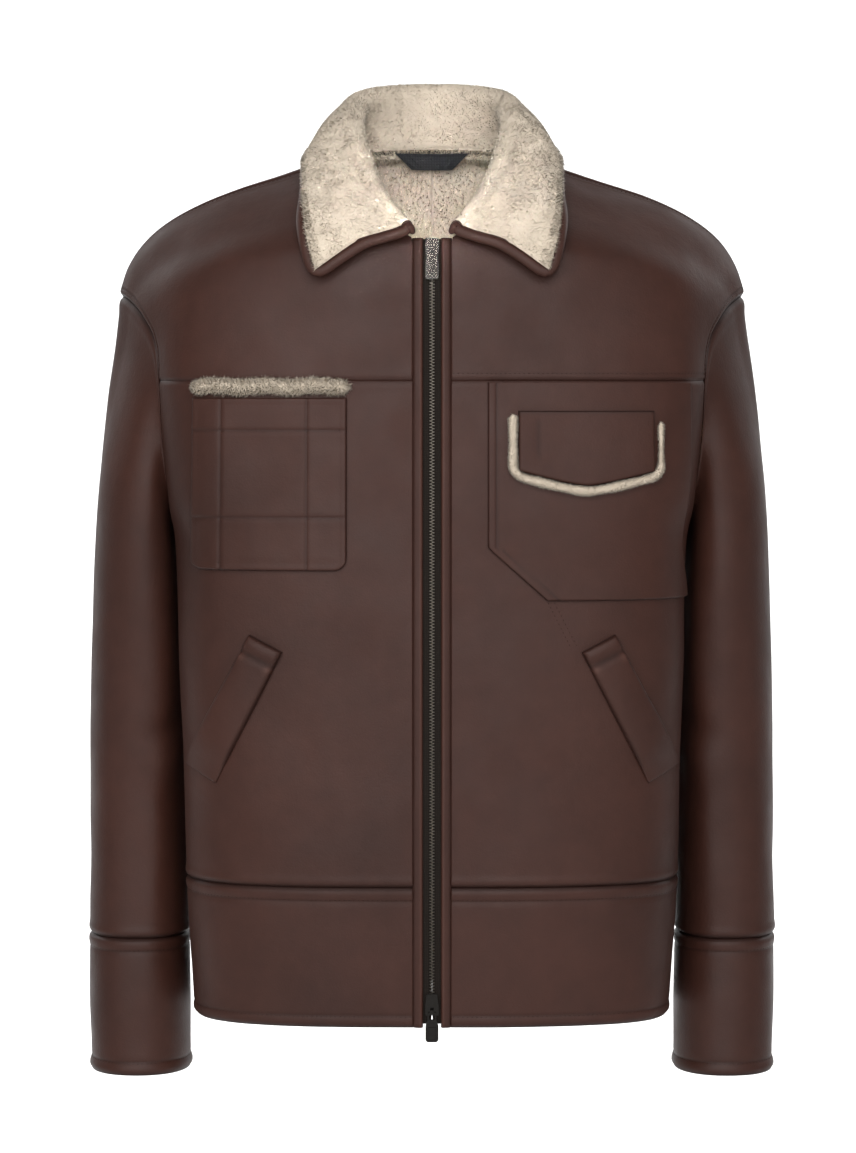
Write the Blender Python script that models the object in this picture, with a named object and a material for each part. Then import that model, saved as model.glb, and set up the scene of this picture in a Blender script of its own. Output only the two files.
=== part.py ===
"""A sheepskin flying jacket, filled out as worn with nobody inside it.

Metres, +Z up. The wearer's left is +X and the front faces -Y. The origin lies between the two side
neck points, where the wearer's shoulders and neck hold the jacket up.
The skin is leather outside and wool inside: one wall, 5 to 8 mm thick. Every piece is worked out from
one half and mirrored, and neighbours stay SEAM_GAP apart.
"""
import math

import bmesh
import bpy
import numpy as np
from mathutils import Vector

OBJECT_NAME = "sheepskin_flying_jacket"

# Driving sizes
WALL_BODY = 0.006
WALL_SLEEVE = 0.005
WALL_COLLAR = 0.008
SEAM_GAP = 0.0003
LAY_GAP = 0.0007
CURVE_GAP = 0.0014
FRONT_EDGE_X = 0.0148
SIDE_SEAM_Y = 0.018

# Body below the armholes. Columns: the level's height z, half its width, its depth to the front and back.
LEVELS = {
    "hem": (-0.672, 0.193, 0.139, 0.110),
    "band": (-0.563, 0.199, 0.147, 0.108),
    "waist": (-0.470, 0.201, 0.148, 0.108),
    "rib": (-0.380, 0.204, 0.147, 0.116),
    "armpit": (-0.300, 0.204, 0.144, 0.125),
}
FRONT_FULLNESS = (0.90, 0.80)
BACK_FULLNESS = (0.72, 0.70)

# Rows above the armpit: both ends, and the two handles of the curve between them.
# The inner end climbs the zip edge and then the neckline, the outer end climbs the armhole.
# Columns: inner end, inner handle, outer handle, outer end.
FRONT_ROWS = {
    "scye_low": ((FRONT_EDGE_X, -0.142, -0.262), (0.178, -0.142, -0.262),
                 (0.212, -0.108, -0.266), (0.2060, -0.036, -0.270)),
    "scye_mid": ((FRONT_EDGE_X, -0.139, -0.218), (0.172, -0.139, -0.218),
                 (0.208, -0.108, -0.220), (0.2110, -0.058, -0.222)),
    "yoke": ((FRONT_EDGE_X, -0.135, -0.175), (0.165, -0.135, -0.175),
             (0.206, -0.104, -0.175), (0.2130, -0.063, -0.175)),
    "bust": ((FRONT_EDGE_X, -0.128, -0.118), (0.155, -0.127, -0.124),
             (0.205, -0.096, -0.128), (0.2170, -0.059, -0.144)),
    "throat": ((FRONT_EDGE_X, -0.119, -0.066), (0.130, -0.117, -0.078),
               (0.205, -0.086, -0.084), (0.2270, -0.045, -0.126)),
    "collarbone": ((0.049, -0.090, -0.043), (0.128, -0.092, -0.058),
                   (0.216, -0.056, -0.066), (0.2370, -0.026, -0.1145)),
}
SHOULDER_ROW = ((0.081, 0.000, 0.000), (0.150, 0.000, -0.024),
                (0.241, 0.000, -0.039), (0.2480, 0.000, -0.107))
BACK_ROWS = {
    "blade_top": ((0.062, 0.050, 0.009), (0.135, 0.070, -0.016),
                  (0.222, 0.060, -0.052), (0.2420, 0.030, -0.114)),
    "neck_back": ((0.0, 0.076, 0.0135), (0.110, 0.094, 0.000),
                  (0.205, 0.098, -0.070), (0.2290, 0.060, -0.139)),
    "blade": ((0.0, 0.110, -0.070), (0.130, 0.122, -0.080),
              (0.198, 0.118, -0.122), (0.2150, 0.080, -0.182)),
    "blade_low": ((0.0, 0.127, -0.165), (0.140, 0.134, -0.170),
                  (0.200, 0.122, -0.205), (0.2070, 0.074, -0.240)),
    "scye_back": ((0.0, 0.130, -0.250), (0.142, 0.133, -0.250),
                  (0.204, 0.112, -0.270), (0.2030, 0.050, -0.282)),
}

# The arm presses a hollow into each side of the body.
DENT_DEPTH = 0.014
DENT_Y = 0.022
DENT_SPREAD = 0.062
DENT_FROM_X = (0.120, 0.190)
DENT_FADE_Z = (-0.380, -0.262)

# Sleeve rings below the armhole. Columns: outer x and z, inner x and z, the middle in y, the half depth
# to the front and back, and how square the ring is (1 is an ellipse, less is squarer).
SLEEVE_RINGS = {
    "cap": (0.2528, -0.142, 0.2010, -0.3140, 0.017, 0.076, 0.075, 0.92),
    "upper": (0.2602, -0.190, 0.1995, -0.3300, 0.018, 0.078, 0.077, 0.90),
    "biceps": (0.2678, -0.262, 0.1975, -0.3640, 0.019, 0.077, 0.077, 0.88),
    "above_elbow": (0.2722, -0.345, 0.1955, -0.4100, 0.021, 0.073, 0.074, 0.88),
    "elbow": (0.2750, -0.435, 0.1950, -0.4650, 0.023, 0.068, 0.070, 0.88),
    "forearm": (0.2755, -0.525, 0.1955, -0.5350, 0.020, 0.061, 0.064, 0.88),
    "cuff_seam": (0.2755, -0.617, 0.1960, -0.6170, 0.014, 0.056, 0.058, 0.88),
}
CUFF_RINGS = {
    "cuff_seam": SLEEVE_RINGS["cuff_seam"],
    "cuff_middle": (0.2755, -0.670, 0.1950, -0.6700, 0.009, 0.055, 0.056, 0.88),
    "cuff_nip": (0.2740, -0.714, 0.1950, -0.7140, 0.006, 0.054, 0.054, 0.90),
    "cuff_edge": (0.2755, -0.725, 0.1935, -0.7250, 0.005, 0.055, 0.055, 0.90),
}

# The sleeve's head at the armhole: middle in y, half depths to the front and back, squareness
ARMHOLE_RING = (0.012, 0.074, 0.070, 0.92)
HEAD_SETTLES_AT = 3
SLEEVE_ROW_CROWDING = 1.15
PUCKER_PROUD = 0.0007
PUCKER_ANGLES = (20.0, 60.0)

# How finely each stretch is divided, with closer columns where the body turns to its side
ACROSS = 12
COLUMN_CROWDING = 0.05
ACROSS_PLACES = [k / ACROSS + COLUMN_CROWDING * math.sin(2 * math.pi * k / ACROSS) for k in range(ACROSS + 1)]
STEPS = {"band": 3, "panel_low": 6, "panel_high": 5, "yoke": 9, "back_high": 11, "sleeve": 14, "cuff": 4}

LEATHER = ("dark_brown_leather", (0.060, 0.028, 0.020), 0.45, 0.0)
WOOL = ("cream_wool", (0.72, 0.63, 0.50), 0.95, 0.0)
TAPE = ("zip_tape", (0.030, 0.024, 0.018), 0.80, 0.0)
GUNMETAL = ("gunmetal", (0.11, 0.10, 0.10), 0.30, 1.0)
TEETH = ("zip_teeth", (0.55, 0.52, 0.48), 0.28, 1.0)
LOOP_CLOTH = ("loop_cloth", (0.030, 0.030, 0.032), 0.60, 0.0)


def smooth(low, high, value):
    """0 below low, 1 above high, and a soft step between them."""
    t = np.clip((value - low) / (high - low), 0.0, 1.0)
    return t * t * (3.0 - 2.0 * t)


def unit(vectors):
    """Each vector of the array at length one."""
    return vectors / np.linalg.norm(vectors, axis=-1, keepdims=True)


def through(rows, knots, at):
    """The smooth curve through the rows, read at a knot value."""
    last = len(knots) - 1
    k = int(np.clip(np.searchsorted(knots, at, side="right") - 1, 0, last - 1))
    span = knots[k + 1] - knots[k]
    t = (at - knots[k]) / span

    def slope(i):
        low, high = max(i - 1, 0), min(i + 1, last)
        return (rows[high] - rows[low]) / (knots[high] - knots[low])

    return ((2 * t ** 3 - 3 * t ** 2 + 1) * rows[k] + (t ** 3 - 2 * t ** 2 + t) * span * slope(k)
            + (3 * t ** 2 - 2 * t ** 3) * rows[k + 1] + (t ** 3 - t ** 2) * span * slope(k + 1))


def bezier(row, t):
    """The point at t of a curve with two end points and two handles."""
    s = 1.0 - t
    return s ** 3 * row[0] + 3 * s * s * t * row[1] + 3 * s * t * t * row[2] + t ** 3 * row[3]


def level_row(name, side):
    """The quarter ring of one level, from the middle of the front (-1) or back (+1) to the side seam."""
    z, half_width, depth, back = LEVELS[name]
    fullness, inner_x = FRONT_FULLNESS, FRONT_EDGE_X
    if side > 0:
        depth, fullness, inner_x = back, BACK_FULLNESS, 0.0
    middle_y = side * depth
    handle_x = inner_x + fullness[0] * (half_width - inner_x)
    handle_y = SIDE_SEAM_Y + fullness[1] * (middle_y - SIDE_SEAM_Y)
    return ((inner_x, middle_y, z), (handle_x, middle_y, z), (half_width + 0.004, handle_y, z),
            (half_width, SIDE_SEAM_Y, z))


def body_rows():
    """All rows of half the body, from the front hem over the shoulder to the back hem, with their knots."""
    names = [f"front_{name}" for name in LEVELS]
    rows = [level_row(name, -1) for name in LEVELS]
    for name, row in FRONT_ROWS.items():
        names.append(name)
        rows.append(row)
    names.append("shoulder")
    rows.append(SHOULDER_ROW)
    for name, row in BACK_ROWS.items():
        names.append(name)
        rows.append(row)
    for name in reversed(LEVELS):
        names.append(f"back_{name}")
        rows.append(level_row(name, 1))
    rows = np.array(rows)
    gaps = np.linalg.norm(np.diff(rows, axis=0), axis=2).mean(axis=1)
    low = len(LEVELS) - 1
    heights = [abs(LEVELS[a][0] - LEVELS[b][0]) for a, b in zip(list(LEVELS)[:-1], list(LEVELS)[1:])]
    gaps[:low] = heights
    gaps[-low:] = heights[::-1]
    knots = np.concatenate([[0.0], np.cumsum(gaps)])
    return rows, knots, dict(zip(names, knots))


BODY, BODY_KNOTS, AT = body_rows()


def pressed(point):
    """The point with the hollow that the arm presses into the body's side."""
    x, y, z = point
    reach = smooth(*DENT_FROM_X, abs(x)) * (1.0 - smooth(*DENT_FADE_Z, z))
    depth = DENT_DEPTH * reach * math.exp(-((y - DENT_Y) / DENT_SPREAD) ** 2)
    return np.array((x - math.copysign(depth, x), y, z))


def inner_end(v):
    """The inner end of the row at v: on the zip edge, then the neckline, then the middle of the back."""
    names = list(AT)
    corners = [0, names.index("throat"), names.index("neck_back"), len(names) - 1]
    for low, high in zip(corners[:-1], corners[1:]):
        if v <= BODY_KNOTS[high] or high == corners[-1]:
            return through(BODY[low:high + 1, 0], BODY_KNOTS[low:high + 1], v)


def body_point(v, u):
    """A point of the outer face of the wearer's left half, at v over the body and u across it."""
    row = through(BODY, BODY_KNOTS, v)
    row[0] = inner_end(v)
    return pressed(bezier(row, u))


def body_normal(v, u):
    """The outward direction there."""
    e = 1e-3
    low_u, high_u = max(u - e, 0.0), min(u + e, 1.0)
    along = body_point(min(v + e, BODY_KNOTS[-1]), u) - body_point(max(v - e, 0.0), u)
    across = body_point(v, high_u) - body_point(v, low_u)
    normal = np.cross(across, along)
    if u == 0.0 and (v <= AT["throat"] or v >= AT["neck_back"]):
        normal[0] = 0.0
    return unit(normal)


def stretch(start, end, steps):
    """Evenly spaced places over the body between two named rows."""
    return list(np.linspace(AT[start], AT[end], steps + 1))


V_BAND = stretch("front_hem", "front_band", STEPS["band"])
V_PANEL_LOW = stretch("front_band", "front_armpit", STEPS["panel_low"])
V_PANEL_HIGH = stretch("front_armpit", "yoke", STEPS["panel_high"])
V_YOKE = stretch("yoke", "shoulder", STEPS["yoke"])
V_BACK_HIGH = stretch("shoulder", "back_armpit", STEPS["back_high"])
V_BACK_LOW = stretch("back_armpit", "back_band", STEPS["panel_low"])
V_BACK_BAND = stretch("back_band", "back_hem", STEPS["band"])


def body_grid(places):
    """The outer points and outward directions of the panel over the given places."""
    points = np.array([[body_point(v, u) for u in ACROSS_PLACES] for v in places])
    normals = np.array([[body_normal(v, u) for u in ACROSS_PLACES] for v in places])
    return points, normals


def share_side_seam(front, back):
    """Give the front and back one side seam: front rows run up, back rows run down."""
    for kind in (0, 1):
        rows = front[kind][:, -1]
        mirrored = back[kind][::-1, -1]
        middle = (rows + mirrored) / 2
        if kind:
            middle = unit(middle)
        front[kind][:, -1] = middle
        back[kind][:, -1] = middle[::-1]


def drawn_in(grid, edges):
    """The grid with the named edges moved half a seam's gap towards its middle."""
    moved = grid.copy()
    half = SEAM_GAP / 2 + 0.00002
    for edge in edges:
        at, towards = {"first_row": (np.s_[0, :], np.s_[1, :]), "last_row": (np.s_[-1, :], np.s_[-2, :]),
                       "first_column": (np.s_[:, 0], np.s_[:, 1]),
                       "last_column": (np.s_[:, -1], np.s_[:, -2])}[edge]
        moved[at] = moved[at] + half * unit(grid[towards] - grid[at])
    return moved


def wall_mesh(outer, inner, around=False):
    """A closed wall between two grids of points. A tube's grids go around with no seam of their own."""
    bm = bmesh.new()
    rows, columns = outer.shape[:2]
    sheets = [[[bm.verts.new(p) for p in row] for row in grid] for grid in (outer, inner)]
    spans = columns if around else columns - 1

    def quad(a, b, c, d):
        bm.faces.new((a, b, c))
        bm.faces.new((a, c, d))

    for sheet in sheets:
        for i in range(rows - 1):
            for j in range(spans):
                k = (j + 1) % columns
                quad(sheet[i][j], sheet[i][k], sheet[i + 1][k], sheet[i + 1][j])
    top, under = sheets
    for i in (0, rows - 1):
        for j in range(spans):
            k = (j + 1) % columns
            quad(top[i][j], top[i][k], under[i][k], under[i][j])
    if not around:
        for j in (0, columns - 1):
            for i in range(rows - 1):
                quad(top[i][j], top[i + 1][j], under[i + 1][j], under[i][j])
    bmesh.ops.recalc_face_normals(bm, faces=bm.faces)
    return bm


def new_material(finish):
    """A Principled material for one finish, made once."""
    name, colour, roughness, metallic = finish
    material = bpy.data.materials.get(name)
    if material is None:
        material = bpy.data.materials.new(name)
        material.use_nodes = True
        shader = material.node_tree.nodes["Principled BSDF"]
        shader.inputs["Base Color"].default_value = (*colour, 1.0)
        shader.inputs["Roughness"].default_value = roughness
        shader.inputs["Metallic"].default_value = metallic
    return material


def add_object(name, bm, finish, sharp_degrees=40.0):
    """Make the object of one piece from its mesh."""
    mesh = bpy.data.meshes.new(name)
    bm.to_mesh(mesh)
    bm.free()
    mesh.shade_smooth()
    mesh.set_sharp_from_angle(angle=math.radians(sharp_degrees))
    mesh.materials.append(new_material(finish))
    piece = bpy.data.objects.new(name, mesh)
    bpy.data.collections[OBJECT_NAME].objects.link(piece)
    return piece


def mirrored(bm):
    """A copy of the mesh on the wearer's other side."""
    twin = bm.copy()
    for vert in twin.verts:
        vert.co.x = -vert.co.x
    bmesh.ops.reverse_faces(twin, faces=twin.faces)
    return twin


def add_pair(name, bm, finish):
    """The piece on the wearer's left and its mirror image on the right."""
    add_object(f"{name}_right", mirrored(bm), finish)
    add_object(f"{name}_left", bm, finish)


def panel_mesh(grid, edges):
    """The wall of one body panel, drawn in at the named seams."""
    points, normals = grid
    return wall_mesh(drawn_in(points, edges), drawn_in(points - WALL_BODY * normals, edges))


def build_body():
    """Waistbands, fronts, yokes and backs. Returns the armhole loop: points and outward directions."""
    band = body_grid(V_BAND)
    panel = body_grid(V_PANEL_LOW + V_PANEL_HIGH[1:])
    yoke = body_grid(V_YOKE)
    back = body_grid(V_BACK_HIGH + V_BACK_LOW[1:])
    back_band = body_grid(V_BACK_BAND)
    low = STEPS["panel_low"] + 1
    high = STEPS["back_high"]
    share_side_seam(band, back_band)
    share_side_seam([part[:low] for part in panel], [part[high:] for part in back])
    rise = STEPS["panel_high"] + 1
    loop = []
    for kind in (0, 1):
        parts = (panel[kind][low - 1:low - 2 + rise, -1], yoke[kind][:-1, -1], back[kind][:high, -1])
        loop.append(np.concatenate(parts))
    add_pair("waistband_front", panel_mesh(band, ("last_row", "last_column")), LEATHER)
    add_pair("front_panel", panel_mesh(panel, ("first_row", "last_row", "last_column")), LEATHER)
    add_pair("front_yoke", panel_mesh(yoke, ("first_row", "last_row", "last_column")), LEATHER)
    add_pair("back", panel_mesh(back, ("first_row", "last_row", "first_column", "last_column")), LEATHER)
    add_pair("waistband_back", panel_mesh(back_band, ("first_row", "first_column", "last_column")), LEATHER)
    return loop


def ring_point(ring, turn):
    """A point of a sleeve ring: turn 0 is the inner point, 0.25 front, 0.5 outer and 0.75 back."""
    outer_x, outer_z, inner_x, inner_z, middle_y, front, back, squareness = ring
    c, s = -math.cos(2 * math.pi * turn), math.sin(2 * math.pi * turn)
    c = math.copysign(abs(c) ** squareness, c)
    s = math.copysign(abs(s) ** squareness, s)
    depth = front if s > 0 else back
    return np.array((((outer_x + inner_x) + (outer_x - inner_x) * c) / 2, middle_y - depth * s,
                     ((outer_z + inner_z) + (outer_z - inner_z) * c) / 2))


def ring_normal(rings, knots, at, turn):
    """The outward direction of the sleeve there."""
    e = 1e-3
    low, high = max(at - e, knots[0]), min(at + e, knots[-1])
    down = ring_point(through(rings, knots, high), turn) - ring_point(through(rings, knots, low), turn)
    ring = through(rings, knots, at)
    around = ring_point(ring, turn + e) - ring_point(ring, turn - e)
    return unit(np.cross(down, around))


def ring_knots(rings):
    """Running length down the sleeve's rings, from their outer and inner points."""
    middles = np.array([((r[0] + r[2]) / 2, (r[1] + r[3]) / 2) for r in rings])
    return np.concatenate([[0.0], np.cumsum(np.linalg.norm(np.diff(middles, axis=0), axis=1))])


def build_sleeve(loop):
    """The sleeve, from the armhole loop down to the cuff seam, and the cuff below it."""
    points, normals = loop
    count = len(points)
    front = STEPS["panel_high"] + STEPS["yoke"]
    lengths = np.linalg.norm(np.roll(points, -1, axis=0) - points, axis=1)
    run = np.concatenate([[0.0], np.cumsum(lengths)])
    turns = np.array([run[j] / run[front] / 2 if j <= front
                      else 0.5 + (run[j] - run[front]) / (run[-1] - run[front]) / 2 for j in range(count)])
    tip, pit = points[front], points[0]
    hole = (tip[0], tip[2], pit[0], pit[2], *ARMHOLE_RING)
    rings = np.array([hole] + list(SLEEVE_RINGS.values()))
    knots = ring_knots(rings)
    residual = points - np.array([ring_point(rings[0], t) for t in turns])
    reach = knots[HEAD_SETTLES_AT]
    outer, directions = [], []
    for at in np.linspace(0.0, 1.0, STEPS["sleeve"] + 1) ** SLEEVE_ROW_CROWDING * knots[-1]:
        ring = through(rings, knots, at)
        fade = 1.0 - smooth(0.0, reach, at)
        outer.append([ring_point(ring, t) + fade * r for t, r in zip(turns, residual)])
        directions.append([ring_normal(rings, knots, at, t) for t in turns])
    outer, directions = np.array(outer), np.array(directions)
    angle = np.degrees(np.arccos(np.clip((directions[0] * normals).sum(axis=1), -1, 1)))
    own = smooth(*PUCKER_ANGLES, angle)[:, None]
    directions[0] = unit(own * directions[0] + (1 - own) * normals)
    outer[0] += SEAM_GAP * unit(outer[1] - outer[0]) + PUCKER_PROUD * own * normals
    outer[-1, :] += (SEAM_GAP / 2) * unit(outer[-2] - outer[-1])
    add_pair("sleeve", wall_mesh(outer, outer - WALL_SLEEVE * directions, around=True), LEATHER)

    rings = np.array(list(CUFF_RINGS.values()))
    knots = ring_knots(rings)
    places = np.linspace(0.0, knots[-1], STEPS["cuff"] + 1)
    outer = np.array([[ring_point(through(rings, knots, at), t) for t in turns] for at in places])
    directions = np.array([[ring_normal(rings, knots, at, t) for t in turns] for at in places])
    outer[0] += (SEAM_GAP / 2) * unit(outer[1] - outer[0])
    add_pair("cuff", wall_mesh(outer, outer - WALL_SLEEVE * directions, around=True), LEATHER)


def surface_at(target, axes, start):
    """The point and outward direction of the left half's outer face where two coordinates are given."""
    at = np.array([AT[start[0]], start[1]])
    e = 1e-4
    for _ in range(14):
        here = body_point(*at)[list(axes)]
        slopes = np.column_stack([(body_point(at[0] + e, at[1])[list(axes)] - here) / e,
                                  (body_point(at[0], at[1] + e)[list(axes)] - here) / e])
        at = at + np.clip(np.linalg.solve(slopes, np.array(target) - here), -0.06, 0.06)
        at[1] = np.clip(at[1], 0.0, 0.999)
    return body_point(*at), body_normal(*at)


def front_at(x, z):
    """The point and outward direction on the front at x and z."""
    return surface_at((x, z), (0, 2), ("yoke" if z > -0.24 else "front_rib", 0.45))


def laid_grid(places, lift):
    """Points over a grid of x and z on the front, moved out by lift(i, j) in metres."""
    rows = []
    for i, row in enumerate(places):
        points = []
        for j, (x, z) in enumerate(row):
            point, normal = front_at(x, z)
            points.append(point + lift(i, j) * normal)
        rows.append(points)
    return np.array(rows)


def laid_patch(places, under, over, edge):
    """A piece laid on the front: `under` and `over` are the lifts of its faces, `edge` of its rim."""
    last_i, last_j = len(places) - 1, len(places[0]) - 1

    def top(i, j):
        return edge if i in (0, last_i) or j in (0, last_j) else over

    return wall_mesh(laid_grid(places, top), laid_grid(places, lambda i, j: under))


# Patch pocket on the wearer's right chest, as x and z from the middle of the front
POCKET_X = (0.0650, 0.1840)
POCKET_Z = (-0.1885, -0.3205)
POCKET_CORNER = 0.010
POCKET_THICKNESS = 0.0030
POCKET_TRIM_X = (0.0600, 0.1840)
POCKET_TRIM_Z = (-0.1725, -0.1870)
POCKET_TRIM_THICKNESS = 0.0095

# Chest panel and flap on the wearer's left chest
CHEST_EDGE_X = 0.0425
CHEST_CORNER_Z = -0.303
CHEST_FOOT = (0.0880, -0.3435)
CHEST_THICKNESS = 0.0016
CHEST_OUTER_U = 0.935
CHEST_ARM_ROOM = 0.065
CHEST_TOP_GAP = 0.0012
FLAP_X = (0.0655, 0.1690)
FLAP_TOP_Z = -0.1985
FLAP_SIDE_Z = -0.2445
FLAP_POINT = (0.1180, -0.2560)
FLAP_THICKNESS = 0.0030
FLAP_TRIM_RADIUS = 0.0038

# Slanted welts: the middle of each end, the width, and the height of the padding
WELT_TOP = (0.1270, -0.3760)
WELT_FOOT = (0.1790, -0.4780)
WELT_WIDTH = 0.029
WELT_THICKNESS = 0.0065


def build_patch_pocket():
    """The patch pocket with round lower corners, and the wool edge along its top."""
    columns = np.linspace(*POCKET_X, 9)
    places = []
    for t in (0.0, 0.03, 0.25, 0.5, 0.75, 0.93, 1.0):
        row = []
        for x in columns:
            past = max(0.0, POCKET_CORNER - min(x - POCKET_X[0], POCKET_X[1] - x))
            rise = POCKET_CORNER - math.sqrt(POCKET_CORNER ** 2 - past ** 2)
            row.append((x, POCKET_Z[0] + t * (POCKET_Z[1] + rise - POCKET_Z[0])))
        places.append(row)
    add_object("patch_pocket", mirrored(laid_patch(places, CURVE_GAP, POCKET_THICKNESS, 0.0020)), LEATHER)
    heights = np.linspace(*POCKET_TRIM_Z, 5)
    places = [[(x, z) for x in np.linspace(*POCKET_TRIM_X, 10)] for z in heights]
    trim = laid_patch(places, LAY_GAP, POCKET_TRIM_THICKNESS, 0.004)
    add_object("patch_pocket_trim", mirrored(trim), WOOL)


def build_chest_panel():
    """The panel that laps over the left front from the yoke seam down to a level lower edge."""
    rows = [V_PANEL_LOW[-2]] + V_PANEL_HIGH[:-1] + [AT["yoke"] - CHEST_TOP_GAP]
    grids = ([], [])
    for v in rows:
        z = body_point(v, 0.0)[2]
        slant = np.clip((CHEST_CORNER_Z - z) / (CHEST_CORNER_Z - CHEST_FOOT[1]), 0.0, 1.0)
        edge_x = CHEST_EDGE_X + slant * (CHEST_FOOT[0] - CHEST_EDGE_X)
        low, high = 0.0, 1.0
        for _ in range(30):
            middle = (low + high) / 2
            low, high = (middle, high) if body_point(v, middle)[0] < edge_x else (low, middle)
        outer_u = CHEST_OUTER_U - CHEST_ARM_ROOM * math.exp(-((z - LEVELS["armpit"][0]) / 0.030) ** 2)
        us = [low] + [max(u, low + 0.02) for u in ACROSS_PLACES if 0.20 < u < 0.86] + [outer_u]
        for grid, lift in zip(grids, (CURVE_GAP + CHEST_THICKNESS, CURVE_GAP)):
            grid.append([body_point(v, u) + lift * body_normal(v, u) for u in us])
    add_object("chest_panel", wall_mesh(np.array(grids[0]), np.array(grids[1])), LEATHER)


def flap_bottom(x):
    """The height of the flap's lower edge at x: a shallow point below its middle."""
    t = abs(x - FLAP_POINT[0]) / (FLAP_POINT[0] - FLAP_X[0])
    return FLAP_SIDE_Z + (FLAP_POINT[1] - FLAP_SIDE_Z) * (1.0 - t)


def tube_mesh(path, normals, radius, sides=8, flatness=1.0):
    """A closed round bar along a path, its caps flat. `flatness` squashes it along the normals.
    The radius is one number, or a column with one for each point."""
    path, normals = np.array(path), np.array(normals)
    ahead = np.gradient(path, axis=0)
    side = unit(np.cross(ahead, normals))
    lift = unit(np.cross(side, ahead))
    bm = bmesh.new()
    rings = []
    for point, a, b, size in zip(path, side, lift, np.broadcast_to(radius, (len(path), 1))[:, 0]):
        ring = []
        for k in range(sides):
            turn = 2 * math.pi * k / sides
            ring.append(bm.verts.new(point + size * (math.cos(turn) * a + flatness * math.sin(turn) * b)))
        rings.append(ring)
    for low, high in zip(rings[:-1], rings[1:]):
        for k in range(sides):
            m = (k + 1) % sides
            bm.faces.new((low[k], low[m], high[m], high[k]))
    bm.faces.new(rings[0])
    bm.faces.new(rings[-1])
    bmesh.ops.recalc_face_normals(bm, faces=bm.faces)
    return bm


def build_flap():
    """The pocket flap on the chest panel, and the wool edge around its sides and lower edge."""
    base = CURVE_GAP + CHEST_THICKNESS
    columns = np.linspace(*FLAP_X, 9)
    places = [[(x, FLAP_TOP_Z + t * (flap_bottom(x) - FLAP_TOP_Z)) for x in columns]
              for t in (0.0, 0.08, 0.5, 0.92, 1.0)]
    flap = laid_patch(places, base + LAY_GAP, base + FLAP_THICKNESS, base + 0.0018)
    add_object("pocket_flap", flap, LEATHER)
    out = FLAP_TRIM_RADIUS + SEAM_GAP
    left, right = FLAP_X[0] - out, FLAP_X[1] + out
    low = [(x, flap_bottom(x) - out) for x in np.linspace(FLAP_X[0], FLAP_X[1], 9)]
    route = ([(left, z) for z in np.linspace(FLAP_TOP_Z - 0.003, FLAP_SIDE_Z, 4)] + low
             + [(right, z) for z in np.linspace(FLAP_SIDE_Z, FLAP_TOP_Z - 0.009, 4)])
    path, normals = [], []
    for x, z in route:
        point, normal = front_at(x, z)
        path.append(point + (base + LAY_GAP + FLAP_TRIM_RADIUS) * normal)
        normals.append(normal)
    add_object("flap_trim", tube_mesh(path, normals, FLAP_TRIM_RADIUS, sides=6), WOOL)


def build_welts():
    """The slanted pocket welts: padded bands raised from the fronts."""
    top, foot = np.array(WELT_TOP), np.array(WELT_FOOT)
    along = (foot - top) / np.linalg.norm(foot - top)
    across = np.array((-along[1], along[0]))
    half = WELT_WIDTH / 2 * across
    places = [[tuple(top + s * (foot - top) + w * half) for w in (-1.0, -0.6, 0.0, 0.6, 1.0)]
              for s in (0.0, 0.03, 0.2, 0.4, 0.6, 0.8, 0.97, 1.0)]
    add_pair("welt", laid_patch(places, CURVE_GAP, WELT_THICKNESS, 0.0035), LEATHER)


# Zip: half widths across, and depths behind the fronts' outer face at the middle of the front
FACING_X = (0.0068, 0.0145)
FACING_PROUD = 0.0010
FACING_BACK = -0.0050
TAPE_X = (0.0031, 0.0065)
TAPE_DEPTH = (-0.0022, -0.0012)
CHAIN_HALF = 0.0027
CHAIN_DEPTH = (-0.0028, -0.0004)
SLIDER_TOP_Z = -0.0745
SLIDER_BOTTOM_Z = -0.6535
SLIDER_SIZE = (0.0105, 0.0170)
PULL_SIZE = (0.0100, 0.0235)
PULL_THICKNESS = 0.0012


def middle_frame(z):
    """The place on the middle of the front at height z, with its upward and outward directions."""
    low, high = AT["front_hem"], AT["throat"]
    for _ in range(40):
        half = (low + high) / 2
        low, high = (half, high) if body_point(half, 0.0)[2] < z else (low, half)
    e = 1e-3
    up = unit(body_point(low + e, 0.0) - body_point(low - e, 0.0)) if low > e else np.array((0.0, 0.0, 1.0))
    up[0] = 0.0
    point = body_point(low, 0.0)
    return np.array((0.0, point[1], z)), unit(up), unit(np.array((0.0, -up[2], up[1])))


def strip_mesh(heights, section):
    """A long strip up the middle of the front: its section is a ring of x and outward depth."""
    bm = bmesh.new()
    rings = []
    for z in heights:
        point, _, out = middle_frame(z)
        rings.append([bm.verts.new(point + np.array((x, 0.0, 0.0)) + depth * out) for x, depth in section])
    for low, high in zip(rings[:-1], rings[1:]):
        for k in range(len(section)):
            m = (k + 1) % len(section)
            bm.faces.new((low[k], low[m], high[m], high[k]))
    bm.faces.new(rings[0])
    bm.faces.new(rings[-1])
    bmesh.ops.recalc_face_normals(bm, faces=bm.faces)
    return bm


def box_section(x_range, depth_range):
    """A rectangle as the section of a strip."""
    (x0, x1), (d0, d1) = x_range, depth_range
    return [(x0, d0), (x1, d0), (x1, d1), (x0, d1)]


def middle_heights(low, high):
    """Heights up the middle of the front, at the rows of the fronts and at both ends."""
    rows = [body_point(v, 0.0)[2] for v in V_BAND + V_PANEL_LOW + V_PANEL_HIGH + V_YOKE]
    between = sorted({round(z, 6) for z in rows if low + 0.004 < z < high - 0.004})
    return [low] + between + [high]


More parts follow.
